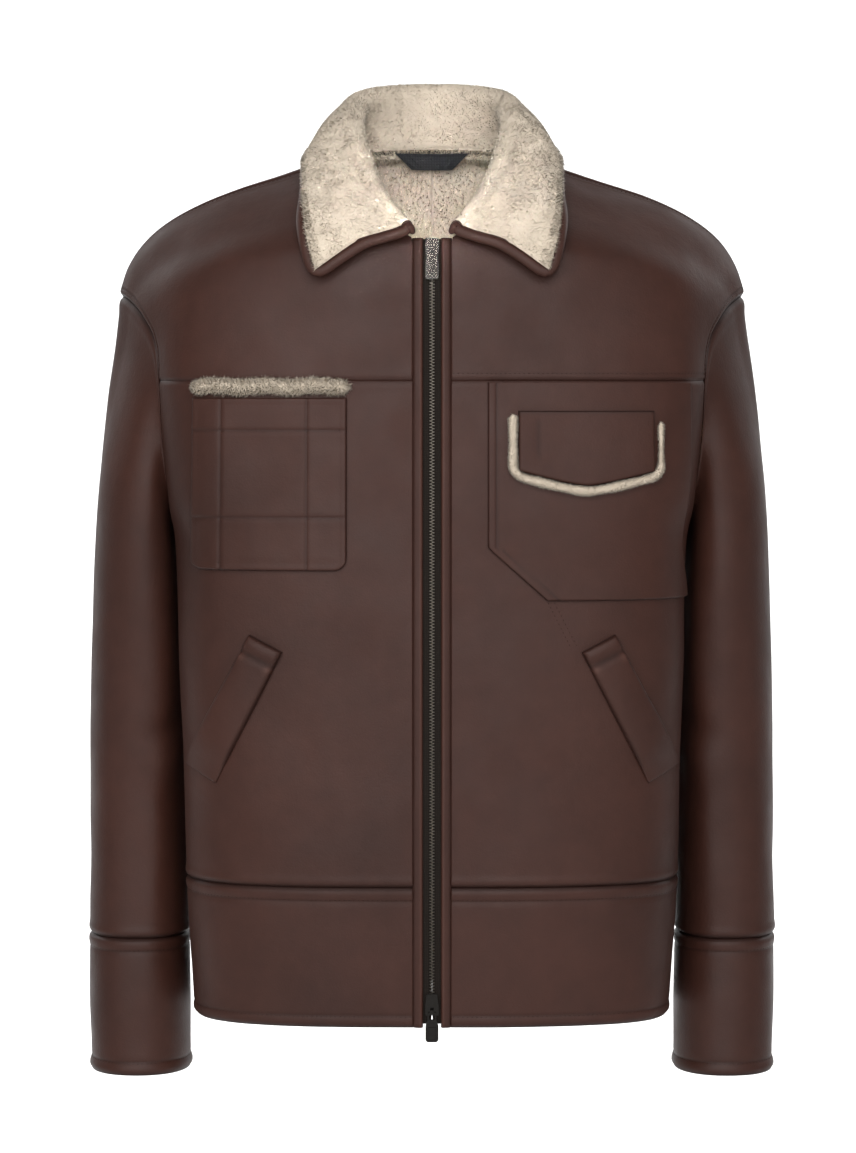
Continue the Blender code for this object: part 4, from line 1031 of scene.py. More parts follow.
def make_flap():
    """The pocket flap with its turned edge and a short bar of stitches."""
    base = CURVE_GAP + CHEST_THICKNESS
    xs = edged(*FLAP_X, 0.0030)
    ts = edged(0.0, 0.052, 0.0030) / 0.052
    bottom = flap_bottom(xs)
    x_grid = np.broadcast_to(xs, (len(ts), len(xs)))
    z_grid = FLAP_TOP_Z + ts[:, None] * (bottom - FLAP_TOP_Z)
    edge = np.minimum(np.minimum(x_grid - FLAP_X[0], FLAP_X[1] - x_grid),
                      np.minimum(z_grid - bottom, (FLAP_TOP_Z - z_grid) * 1.6))
    lift = base + 0.0003 + rounded(edge, FLAP_THICKNESS, 0.0024)
    lift = lift + 0.0008 * smooth(0.4, 1.0, np.broadcast_to(ts[:, None], x_grid.shape))
    bar = bell(x_grid - 0.0805, 0.0010) * smooth(0.1, 0.2, ts)[:, None] * smooth(0.75, 0.65, ts)[:, None]
    lift = lift - 0.0005 * bar
    # Painted shade on the stitch bar and along the edge, and a painted shadow under the flap's top fold.
    dark = 0.5 * bar + 0.6 * bell(edge, 0.0010)
    dark = dark + 0.9 * bell(FLAP_TOP_Z - z_grid, 0.0020)
    top, _ = laid(x_grid, z_grid, lift, 1)
    under, _ = laid(x_grid, z_grid, base, 1)
    flap = closed_patch("pocket_flap_skin", top, under, np.clip(0.5 - 0.5 * dark, 0, 1), 1,
                        stands_for="pocket_flap")


def make_welts():
    """The slanted pocket welts: padded bands with a folded cap at the top."""
    top, foot = np.array(WELT_TOP), np.array(WELT_FOOT)
    length = np.linalg.norm(foot - top)
    along = (foot - top) / length
    across = np.array((-along[1], along[0]))
    ss = edged(0.0, length, 0.0035)
    ws = edged(-WELT_WIDTH / 2, WELT_WIDTH / 2, 0.0020, (0.0, 0.0006, 0.0013, 0.0022, 0.0034, 0.0050))
    s_grid, w_grid = np.meshgrid(ss, ws, indexing="ij")
    x_grid = top[0] + s_grid * along[0] + w_grid * across[0]
    z_grid = top[1] + s_grid * along[1] + w_grid * across[1]
    edge = np.minimum(np.minimum(s_grid, length - s_grid), WELT_WIDTH / 2 - np.abs(w_grid))
    crown = np.clip(1.0 - (w_grid / (WELT_WIDTH / 2)) ** 2, 0.0, 1.0) ** 0.5
    for side, tag in SIDES:
        lift = CURVE_GAP * 0.7 + rounded(edge, 0.0034, 0.0030) + (WELT_THICKNESS - 0.0040) * crown
        cap = bell(s_grid - 0.0125, 0.0016)
        lift = lift - 0.0020 * cap + 0.0012 * bell(s_grid - 0.0065, 0.0040)
        lift = CURVE_GAP * 0.7 + (lift - CURVE_GAP * 0.7) * (1.0 - 0.75 * smooth(0.72, 1.0, s_grid / length))
        soft = np.stack([x_grid * side, z_grid, 0 * z_grid], -1)
        lift = lift + 0.0006 * wander(soft, (45.0, 45.0, 1.0), (4.0, 2.0, 6.0))
        # Painted shade in the cap's fold and along the edges; the next line takes some away as a painted highlight
        # just below the cap.
        dark = 0.9 * cap + 0.7 * bell(edge, 0.0012) * smooth(0.0, 0.02, length - s_grid)
        dark = dark - 0.8 * bell(s_grid - 0.0165, 0.0035) * bell(edge - 0.003, 0.003)
        upper, _ = laid(x_grid, z_grid, lift, side)
        under, _ = laid(x_grid, z_grid, 0.0003, side)
        welt = closed_patch(f"welt_{tag}_skin", upper, under, np.clip(0.5 - 0.5 * dark, 0, 1), side,
                            stands_for=f"welt_{tag}")


make_patch_pocket()
make_chest_panel()
make_flap()
make_welts()


# Zip

FACING_X = 0.0068
SLIDER_TOP_Z = -0.0745
SLIDER_BOTTOM_Z = -0.6535
TOOTH_PITCH = 0.0024
TOOTH_REACH = 0.0021
TOOTH_OVERLAP = 0.0006
TOOTH_HEIGHT = 0.00095
TOOTH_DEPTH = (-0.0018, -0.0006)
# Section of a facing. Columns: how far across from the inner edge, how far out, and its shade: a painted highlight
# on the turned edge's crest and painted shade at the outer edge.
FACING_SECTION = (
    (0.0, -0.0050, 0.30), (0.0, -0.0014, 0.25), (0.0004, 0.0000, 0.45), (0.0011, 0.0010, 0.82),
    (0.0020, 0.0015, 0.74), (0.0030, 0.0014, 0.52), (0.0042, 0.0010, 0.45), (0.0056, 0.0008, 0.40),
    (0.0066, 0.0003, 0.32), (0.0074, -0.0004, 0.22), (0.0082, -0.0010, 0.15), (0.0086, -0.0050, 0.1),
)


# Section of a tape. Columns: x, how far out.
TAPE_SECTION = (
    (0.0004, -0.0024), (0.0006, -0.0019), (0.0012, -0.0017), (0.0020, -0.0016), (0.0026, -0.0020),
    (0.0066, -0.0020), (0.0076, -0.0021), (0.0076, -0.0027), (0.0026, -0.0027), (0.0012, -0.0027),
)


def middle_frames(zs):
    """Places on the middle of the front at the heights, with their upward and outward directions."""
    vs = np.linspace(AT["front_hem"], AT["throat"], 400)
    line = body_points(vs, np.array([0.0]))[:, 0]
    points = np.stack([0 * zs, np.interp(zs, line[:, 2], line[:, 1]), zs], axis=1)
    e = 0.002
    slope = (np.interp(zs + e, line[:, 2], line[:, 1]) - np.interp(zs - e, line[:, 2], line[:, 1])) / (2 * e)
    ups = unit(np.stack([0 * zs, slope, 1 + 0 * zs], axis=1))
    outs = np.stack([0 * zs, -ups[:, 2], ups[:, 1]], axis=1)
    return points, ups, outs


def make_facings():
    """The turned leather edge on each side of the zip."""
    hem, throat = LEVELS["hem"][0], FRONT_ROWS["throat"][0][2]
    zs = np.linspace(hem + 0.0004, throat, 170)
    points, _, outs = middle_frames(zs)
    section = np.array(FACING_SECTION)
    count = len(section)
    for side, tag in SIDES:
        soft = 0.0004 * wander(points * (0, 1, 1) + (0.1 * side, 0, 0), (1.0, 30.0, 30.0), (2.0, 3.0, 4.0))
        out = section[None, :, 1] + soft[:, None] * (section[None, :, 1] > -0.003)
        grid = points[:, None, :] + out[..., None] * outs[:, None, :]
        grid[..., 0] = FACING_X + section[None, :, 0]
        faces = tube_faces(len(zs), count)
        # The section's shade paints a highlight on the crest and shade at the outer edge.
        shade = np.broadcast_to(section[:, 2], (len(zs), count))
        facing = add_piece(f"zip_facing_{tag}_skin", grid.reshape(-1, 3) * (side, 1, 1), faces, (LEATHER,),
                           None, shade.ravel(), stands_for=f"zip_facing_{tag}")


def make_tapes():
    """The zip's tapes, from the teeth to under the facings, each with a corded inner edge."""
    zs = np.linspace(LEVELS["hem"][0] + 0.0030, FRONT_ROWS["throat"][0][2] - 0.0005, 170)
    points, _, outs = middle_frames(zs)
    section = np.array(TAPE_SECTION)
    count = len(section)
    for side, tag in SIDES:
        grid = points[:, None, :] + section[None, :, 1, None] * outs[:, None, :]
        grid[..., 0] = section[None, :, 0]
        faces = tube_faces(len(zs), count)
        tape = add_piece(f"zip_tape_{tag}_skin", grid.reshape(-1, 3) * (side, 1, 1), faces, (TAPE,),
                         slot="zip_tape", stands_for=f"zip_tape_{tag}")


def make_teeth():
    """The zip's teeth, in two rows that mesh: each a small block with its top corners broken."""
    low, high = SLIDER_BOTTOM_Z - 0.006, SLIDER_TOP_Z + 0.006
    block = []
    for height, depth, x0, x1 in ((0.5, TOOTH_DEPTH[0], 0.0, 1.0), (0.5, TOOTH_DEPTH[1] - 0.0005, 0.0, 1.0),
                                  (0.30, TOOTH_DEPTH[1], 0.12, 0.86)):
        block.append((height, depth, x0, x1))
    points, faces = [], []
    for side in (-1, 1):
        zs = np.arange(low, high, TOOTH_PITCH) + (TOOTH_PITCH / 2 if side > 0 else 0.0)
        places, ups, outs = middle_frames(zs)
        for place, up, out in zip(places, ups, outs):
            start = len(points)
            for height, depth, x0, x1 in block:
                for x, z in ((x0, -height), (x1, -height), (x1, height), (x0, height)):
                    across = TOOTH_REACH - x * (TOOTH_REACH + TOOTH_OVERLAP)
                    points.append(place + np.array((side * across, 0, 0)) + z * TOOTH_HEIGHT * up + depth * out)
            for k in range(2):
                for j in range(4):
                    a, b = start + 4 * k + j, start + 4 * k + (j + 1) % 4
                    faces.append((a, b, b + 4, a + 4))
            faces += [tuple(start + 8 + j for j in range(4)), tuple(start + j for j in (3, 2, 1, 0))]
    add_piece("zip_teeth", points, faces, (TEETH,), slot="zip_teeth", stands_for="zip_chain")
    bpy.data.objects["zip_teeth"].data.set_sharp_from_angle(angle=math.radians(30.0))


def prism(bm, outline, back, front, round_by):
    """Add a plate of that outline (x and up) between two depths, with its edges rounded."""
    low = [bm.verts.new((x, up, back)) for x, up in outline]
    high = [bm.verts.new((x, up, front)) for x, up in outline]
    count = len(outline)
    faces = [bm.faces.new(low[::-1]), bm.faces.new(high)]
    for k in range(count):
        faces.append(bm.faces.new((low[k], low[(k + 1) % count], high[(k + 1) % count], high[k])))
    edges = {edge for face in faces for edge in face.edges}
    bmesh.ops.bevel(bm, geom=list(edges), offset=round_by, segments=2, affect="EDGES", clamp_overlap=True)


def bar(x0, x1, low, high):
    """The outline of an upright rectangle."""
    return ((x0, low), (x1, low), (x1, high), (x0, high))


def arch(bm, low, high):
    """Add the slider's arch: a flat bridge between two heights, standing on the plate."""
    half = ARCH_WIDTH / 2
    places = [(low, 0.0012), (low + 0.0003, 0.0030), (low + 0.0012, ARCH_OUT), (high - 0.0012, ARCH_OUT),
              (high - 0.0003, 0.0030), (high, 0.0012)]
    outer = [[bm.verts.new((x, up, depth)) for x in (-half, half)] for up, depth in places]
    middle = (low + high) / 2
    inner = [[bm.verts.new((x, middle + (up - middle) * 0.72, min(depth, ARCH_OUT - 0.0009) - 0.0002))
              for x in (-half, half)] for up, depth in places]
    for k in range(len(places) - 1):
        bm.faces.new((outer[k][0], outer[k][1], outer[k + 1][1], outer[k + 1][0]))
        bm.faces.new((inner[k][1], inner[k][0], inner[k + 1][0], inner[k + 1][1]))
        for side in (0, 1):
            bm.faces.new((outer[k][side], outer[k + 1][side], inner[k + 1][side], inner[k][side]))
    for k in (0, -1):
        bm.faces.new((outer[k][0], outer[k][1], inner[k][1], inner[k][0]))


def on_the_zip(name, bm, z, node_name, body):
    """The metal piece in its place on the middle of the front, standing for the node of that name."""
    points, ups, outs = middle_frames(np.array([z]))
    bmesh.ops.recalc_face_normals(bm, faces=bm.faces)
    bm.verts.index_update()
    placed = [points[0] + (v.co.x, 0.0, 0.0) + v.co.y * ups[0] + v.co.z * outs[0] for v in bm.verts]
    faces = [tuple(v.index for v in face.verts) for face in bm.faces]
    bm.free()
    piece = add_piece(name, placed, faces, (GUNMETAL,), slot="gunmetal", stands_for=node_name, body=body)
    piece.data.set_sharp_from_angle(angle=math.radians(40.0))


SLIDER_HALF = (0.0052, 0.0040, 0.0085)
ARCH_HALF = 0.0030
ARCH_LEG = 0.0011
ARCH_WIDTH = 0.0026
ARCH_OUT = 0.0047
PULL_AXIS_OUT = 0.0026
PULL_WIDTH = 0.0100
PULL_LENGTH = 0.0235
# Where each arch's middle is along its slider, and which way the wedge end of the slider points
SLIDERS = (("top", SLIDER_TOP_Z, -0.0005, 1), ("bottom", SLIDER_BOTTOM_Z, -0.0052, -1))


def make_sliders():
    """Both sliders with their arches, and the pulls that hang in them."""
    wide, narrow, half = SLIDER_HALF
    for tag, z, arch_at, way in SLIDERS:
        bm = bmesh.new()
        outline = [(-wide, half * way), (wide, half * way), (wide, 0.0010 * way), (narrow, -half * way),
                   (-narrow, -half * way), (-wide, 0.0010 * way)]
        prism(bm, outline, 0.0001, 0.0016, 0.0005)
        prism(bm, outline, -0.0044, -0.0032, 0.0004)
        prism(bm, bar(-0.0016, 0.0016, *sorted((way * 0.0037, way * 0.0080))), -0.0034, 0.0004, 0.0002)
        arch(bm, arch_at - ARCH_HALF, arch_at + ARCH_HALF)
        on_the_zip(f"slider_{tag}_form", bm, z, f"slider_{tag}", "jacket")
        bm = bmesh.new()
        top = arch_at - ARCH_HALF + ARCH_LEG + 0.0016
        out, w = PULL_AXIS_OUT, PULL_WIDTH / 2
        prism(bm, bar(-0.0034, -0.0023, top - 0.0064, top - 0.0002), out - 0.0006, out + 0.0006, 0.0003)
        prism(bm, bar(0.0023, 0.0034, top - 0.0064, top - 0.0002), out - 0.0006, out + 0.0006, 0.0003)
        prism(bm, bar(-0.0034, 0.0034, top - 0.0012, top), out - 0.0006, out + 0.0006, 0.0003)
        low = top - PULL_LENGTH
        plate = ((-0.0036, top - 0.0056), (-w, top - 0.0105), (-w, low + 0.0016), (-w + 0.0014, low),
                 (w - 0.0014, low), (w, low + 0.0016), (w, top - 0.0105), (0.0036, top - 0.0056))
        prism(bm, plate, out - 0.0006, out + 0.0006, 0.0004)
        prism(bm, bar(-w + 0.0018, w - 0.0018, low + 0.0020, top - 0.0115), out + 0.0004, out + 0.0009, 0.0003)
        on_the_zip(f"pull_{tag}_form", bm, z, f"pull_{tag}", f"{tag}_pull")


make_facings()
make_tapes()
make_teeth()
make_sliders()
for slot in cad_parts["hanger_loop"].material_slots:
    slot.material = LOOP_CLOTH


# Collar stations. Columns: neckline point, top of the roll, half the roll's width, which two coordinates
# place the free edge on the body, their values, and how far off the body the edge lies.
COLLAR = (
    ((0.0165, -0.1161, -0.0613), (0.0200, -0.1250, -0.0555), 0.0030, "xz", (0.0875, -0.0935), 0.0085),
    ((0.0466, -0.0893, -0.0396), (0.0400, -0.1040, -0.0320), 0.0050, "xz", (0.0950, -0.0660), 0.0088),
    ((0.0702, -0.0490, -0.0178), (0.0575, -0.0560, 0.0045), 0.0065, "xy", (0.0972, -0.0480), 0.0088),
    ((0.0796, 0.0000, 0.0000), (0.0655, -0.0020, 0.0375), 0.0080, "xy", (0.0962, -0.0020), 0.0088),
    ((0.0588, 0.0476, 0.0098), (0.0545, 0.0520, 0.0575), 0.0080, "xy", (0.0790, 0.0640), 0.0092),
    ((0.0000, 0.0722, 0.0136), (0.0000, 0.0840, 0.0645), 0.0080, "xz", (0.0000, -0.0020), 0.0092),
)
ROLL_DROP_Z = 0.0065
FALL_BULGE = 0.0045
EDGE_RADIUS = 0.0044
EDGE_RADIUS_BEHIND = 0.0030
EDGE_OUT = 0.75
COLLAR_REST = 0.0010
COLLAR_CLEARANCE = 0.0088
COLLAR_ALONG = 60
COLLAR_ACROSS = 46
COLLAR_FIBRES = 2000000.0
FLIP = np.array((-1.0, 1.0, 1.0))
LOCK_PULL = 0.12


def collar_sections():
    """The control points of each collar station: neck, stand, roll, fall and edge."""
    sections = []
    for neck, roll, half, axes, place, lift in COLLAR:
        neck, roll = np.array(neck), np.array(roll)
        start = ("throat", 0.35) if axes == "xz" else ("collarbone", 0.3)
        if place[1] > 0.0:
            start = ("blade_top", 0.3)
        if place[0] == 0.0:
            point, normal = np.array((0.0, 0.085, place[1])), np.array((0.0, 1.0, 0.0))
        else:
            point, normal = surface_at(place, (0, 2) if axes == "xz" else (0, 1), start)
        edge = point + lift * normal
        out = edge - roll
        out[2] = 0.0
        out = unit(out)
        drop = np.array((0.0, 0.0, min(ROLL_DROP_Z, half * 1.2)))
        fall = 0.5 * (roll + edge) + FALL_BULGE * unit(np.array((out[0], out[1], 0.8)))
        sections.append((neck, roll - half * out - drop, roll, roll + half * out - drop, fall, edge))
    return np.array(sections)


def shoulder_net():
    """Points and outward directions over both shoulders, for what must lie off them."""
    vs, us = np.linspace(AT["bust"], AT["blade"], 60), np.linspace(0.0, 0.6, 16)
    points, normals = body_points(vs, us).reshape(-1, 3), body_normals(vs, us).reshape(-1, 3)
    return np.concatenate([points, points * FLIP]), np.concatenate([normals, normals * FLIP])


SHOULDERS = shoulder_net()


def lifted_off(grid, clearance, first):
    """The grid with each row's points, from the first given, at least the clearance off the shoulders."""
    points, normals = SHOULDERS
    for row in grid:
        for j in range(first, len(row)):
            nearest = np.argmin(((points - row[j]) ** 2).sum(axis=1))
            short = clearance - (row[j] - points[nearest]) @ normals[nearest]
            if short > 0.0:
                row[j] += short * normals[nearest]
    return grid


def collar_grid():
    """Points of the collar's middle surface, from the left zip edge round the back to the right one."""
    sections = collar_sections()
    whole = np.concatenate([sections, (sections * FLIP)[-2::-1]])
    along = run_along(whole[:, 2])
    grid = []
    for at in np.linspace(0.0, along[-1], 2 * COLLAR_ALONG + 1):
        section = through(whole, along, at)
        run = run_along(section)
        steps = np.concatenate([np.linspace(0.0, run[1], 10), np.linspace(run[1], run[3], 15)[1:],
                                np.linspace(run[3], run[5], COLLAR_ACROSS - 23)[1:]])
        grid.append([through(section, run, t) for t in steps])
    return lifted_off(np.array(grid), COLLAR_CLEARANCE, 24)


def softened(grid, rounds):
    """The grid smoothed along its rows, its ends kept."""
    for _ in range(rounds):
        grid[1:-1] = 0.5 * grid[1:-1] + 0.25 * (grid[2:] + grid[:-2])
    return grid


def add_fibres(name, roots, normals, rng, length, width, lean, spread, clump, material=None):
    """Wool fibres as tapered ribbons, a little gathered in locks.
    `lean` is a direction (one or one for each root) that the wool is brushed to, `clump` the locks' spacing."""
    count = len(roots)
    random_direction = unit(rng.normal(size=(count, 3)))
    direction = unit(normals + lean + spread * random_direction)
    lengths = length * rng.uniform(0.55, 1.15, count)[:, None]
    lock_of = np.round((roots + rng.uniform(0, clump, 3)) / clump).astype(int)
    _, lock_index = np.unique(lock_of, axis=0, return_inverse=True)
    lock_index = lock_index.ravel()
    locks = lock_index.max() + 1
    sums = np.zeros((locks, 3))
    np.add.at(sums, lock_index, roots)
    middle = sums / np.bincount(lock_index, minlength=locks)[:, None]
    lock_turn = unit(rng.normal(size=(locks, 3)))[lock_index]
    lock_tip = middle[lock_index] + lengths * unit(normals + lean + 0.35 * lock_turn)
    shine = rng.uniform(0.80, 1.0, locks)[lock_index]
    curl = unit(np.cross(direction, random_direction))
    side = unit(np.cross(direction, unit(rng.normal(size=(count, 3)))))
    rings, shades = [], []
    for t, thin in ((0.0, 1.0), (0.55, 0.85), (1.0, 0.0)):
        own = roots + direction * lengths * t + curl * lengths * 0.16 * math.sin(3.1 * t)
        place = own + (lock_tip - own) * (LOCK_PULL * t ** 1.4)
        if thin:
            rings += [place - side * width * thin / 2, place + side * width * thin / 2]
            shades += [t, t]
        else:
            rings.append(place)
            shades.append(t)
    points = np.stack(rings, axis=1).reshape(-1, 3)
    base = 5 * np.arange(count)[:, None]
    faces = [tuple(q) for corners in ((0, 1, 3, 2), (2, 3, 4)) for q in (base + corners).tolist()]
    # Painted shade: each fibre darkens towards its root; per lock and per fibre the colour also varies at random.
    tint = rng.uniform(0.88, 1.08, count)[:, None]
    shade = np.clip(np.array(shades)[None, :] ** 0.5 * shine[:, None] * tint, 0, 1)
    soft = unit(np.repeat(normals, 5, axis=0) + 0.14 * np.repeat(lock_turn, 5, axis=0)
                + 0.10 * np.repeat(random_direction, 5, axis=0))
    return add_piece(name, points, faces, (material or FIBRES,), None, shade.ravel(), slot="cream_wool",
                     recalculate=False, normals=soft)


def scatter(grid, normals, density, rng, keep=None):
    """Random places over a grid of points, that many to the square metre, with their directions."""
    a, b, c, d = grid[:-1, :-1], grid[1:, :-1], grid[1:, 1:], grid[:-1, 1:]
    areas = 0.5 * (np.linalg.norm(np.cross(b - a, c - a), axis=-1)
                   + np.linalg.norm(np.cross(c - a, d - a), axis=-1))
    if keep is not None:
        areas = areas * keep[:-1, :-1]
    count = int(areas.sum() * density)
    cells = rng.choice(areas.size, size=count, p=areas.ravel() / areas.sum())
    i, j = np.unravel_index(cells, areas.shape)
    s, t = rng.random((count, 1)), rng.random((count, 1))

    def blend(values):
        return ((1 - s) * (1 - t) * values[i, j] + s * (1 - t) * values[i + 1, j]
                + s * t * values[i + 1, j + 1] + (1 - s) * t * values[i, j + 1])

    return blend(grid), unit(blend(normals))


def tube(path, normals, radii, sides=12, flatness=0.8):
    """Points and faces of a closed flattened bar along a path."""
    ahead = np.gradient(path, axis=0)
    side = unit(np.cross(ahead, normals))
    lift = unit(np.cross(side, ahead))
    turns = 2 * math.pi * np.arange(sides) / sides
    ring = (np.cos(turns)[None, :, None] * side[:, None, :]
            + flatness * np.sin(turns)[None, :, None] * lift[:, None, :])
    points = (path[:, None, :] + radii.reshape(-1, 1, 1) * ring).reshape(-1, 3)
    faces = tube_faces(len(path), sides)
    return points, faces


def make_collar():
    """The collar: wool above, leather below, its fibres, and the turned leather edge."""
    rng = np.random.default_rng(7)
    grid = softened(collar_grid(), 3)
    normals = unit(np.cross(np.gradient(grid, axis=0), np.gradient(grid, axis=1)))
    if normals[COLLAR_ALONG, -4, 1] < 0:
        normals = -normals
    half = WALL_COLLAR / 2
    fluff = 0.0010 * wander(grid, (90.0, 90.0, 90.0), (1.0, 2.0, 3.0)) + 0.0007 * wander(
        grid, (210.0, 210.0, 210.0), (4.0, 2.0, 8.0))
    upper = grid + (half - 0.0003 + 0.7 * fluff)[..., None] * normals
    lower = grid - half * normals
    rows, columns = grid.shape[:2]
    start = rows * columns
    faces, slots = [], []
    for i in range(rows - 1):
        for j in range(columns - 1):
            a, b, c, d = i * columns + j, i * columns + j + 1, (i + 1) * columns + j + 1, (i + 1) * columns + j
            faces += [(a, b, c, d), (start + d, start + c, start + b, start + a)]
            slots += [0, 1 if j > 3 else 0]
    border = ([j for j in range(columns)] + [i * columns + columns - 1 for i in range(1, rows)]
              + [(rows - 1) * columns + j for j in range(columns - 2, -1, -1)]
              + [i * columns for i in range(rows - 2, 0, -1)])
    neck_edge = 2 * columns + rows - 3
    for k, (a, b) in enumerate(zip(border, border[1:] + border[:1])):
        faces.append((a, b, start + b, start + a))
        slots.append(0 if k >= neck_edge else 1)
    points = np.concatenate([upper.reshape(-1, 3), lower.reshape(-1, 3)])
    collar = add_piece("collar_skin", points, faces, (WOOL, LEATHER), slots, np.full(len(points), 0.5),
                       slot="cream_wool", stands_for="collar")
    brushed = unit(np.gradient(grid, axis=1))
    roots, lie = scatter(grid + (half - 0.0007) * normals, normals, COLLAR_FIBRES, rng)
    lean = 0.80 * scatter_lean(roots, grid, brushed)
    for tag, own in (("right", roots[:, 0] < 0.0), ("left", roots[:, 0] >= 0.0)):
        add_fibres(f"collar_wool_{tag}", roots[own], lie[own], rng, 0.0019, 0.00026, lean[own], 0.40, 0.0022)

    strip = (slice(None), slice(-4, None))
    roots, lie = scatter(grid[strip] + (half - 0.0008) * normals[strip], normals[strip], 2200000.0, rng)
    add_fibres("collar_wool_fringe", roots, lie, rng, 0.0036, 0.00028, 1.1 * scatter_lean(roots, grid, brushed),
               0.7, 0.0030)
    down = unit(grid[:, 0] - grid[:, 1])
    rim = np.stack([grid[:, 0] + lift * normals[:, 0] for lift in np.linspace(-0.001, half - 0.001, 4)], axis=1)
    roots, lie = scatter(rim, np.stack([unit(down + 0.5 * normals[:, 0])] * 4, axis=1), 1800000.0, rng)
    # These fibres use the lighter neck fibres: painted light.
    add_fibres("collar_wool_neck", roots, lie, rng, 0.0032, 0.00042, np.zeros(3), 0.5, 0.0024,
               material=NECK_FIBRES_PAINTED_LIGHT)

    first = 3
    across = unit(grid[:, -1] - grid[:, -2])
    forward = (unit(grid[0] - grid[1]), unit(grid[-1] - grid[-2]))
    corner = (unit(forward[0][-1:] + across[:1]), unit(forward[1][-1:] + across[-1:]))
    route = np.concatenate([grid[0, first:-1], grid[:, -1], grid[-1, first:-1][::-1]])
    lies = np.concatenate([normals[0, first:-1], normals[:, -1], normals[-1, first:-1][::-1]])
    away = np.concatenate([forward[0][first:-1], corner[0], across[1:-1], corner[1],
                           forward[1][first:-1][::-1]])
    behind = smooth(-0.105, -0.060, route[:, 1])
    radius = EDGE_RADIUS + (EDGE_RADIUS_BEHIND - EDGE_RADIUS) * behind
    run = run_along(route)
    ends = np.minimum(run, run[-1] - run)
    radius = radius * (0.45 + 0.55 * smooth(0.0, 0.010, ends))
    path = route + (EDGE_OUT * radius)[:, None] * away
    path = softened(lifted_off(path[None], 0.8 * EDGE_RADIUS + COLLAR_REST, 0)[0], 3)
    points, faces = tube(path, lies, radius)
    edge = add_piece("collar_edge_skin", points, faces, (LEATHER,), None, np.full(len(points), 0.60),
                     stands_for="collar_edge")


def scatter_lean(roots, grid, directions):
    """The brushed direction of the nearest point of the grid to each root."""
    flat, ways = grid[::2, ::2].reshape(-1, 3), directions[::2, ::2].reshape(-1, 3)
    lean = np.empty_like(roots)
    for k in range(0, len(roots), 2000):
        part = roots[k:k + 2000]
        nearest = np.argmin(((part[:, None, :] - flat[None]) ** 2).sum(axis=2), axis=1)
        lean[k:k + 2000] = ways[nearest]
    return lean


make_collar()


def make_neck_wool():
    """The wool inside the back and the yokes, where it shows through the neck."""
    rng = np.random.default_rng(11)
    for side, tag in SIDES:
        vs = np.concatenate([np.linspace(AT["throat"], AT["shoulder"], 14)[:-1],
                             np.linspace(AT["shoulder"], AT["blade_low"], 40)])
        us = np.concatenate([np.linspace(0.0012, 0.02, 4)[:-1], np.linspace(0.02, 0.62, 30)])
        points, normals = body_points(vs, us), body_normals(vs, us)
        grid = (points - WALL_BODY * normals) * (side, 1, 1)
        inward = -normals * (side, 1, 1)
        keep = (points[..., 2] > -0.20) & (points[..., 1] > -0.06)
        roots, lie = scatter(grid, inward, 620000.0, rng, keep)
        line, out = body_points(vs, np.array([0.0]))[:, 0], body_normals(vs, np.array([0.0]))[:, 0]
        into = unit(line - body_points(vs, np.array([0.03]))[:, 0])
        edge = np.stack([line - depth * out for depth in np.linspace(0.0005, WALL_BODY, 6)], axis=1)
        ways = np.stack([unit(into - 0.5 * out)] * 6, axis=1)
        more, along = scatter(edge * (side, 1, 1), ways * (side, 1, 1), 2400000.0, rng,
                              keep=at_neckline(edge))
        roots, lie = np.concatenate([roots, more]), np.concatenate([lie, along])
        # The lighter neck fibres: painted light against the shade inside the neck.
        add_fibres(f"neck_wool_{tag}", roots, lie, rng, 0.0026, 0.00046, np.array((0.0, 0.0, -0.3)), 0.5, 0.0024,
                   material=NECK_FIBRES_PAINTED_LIGHT)


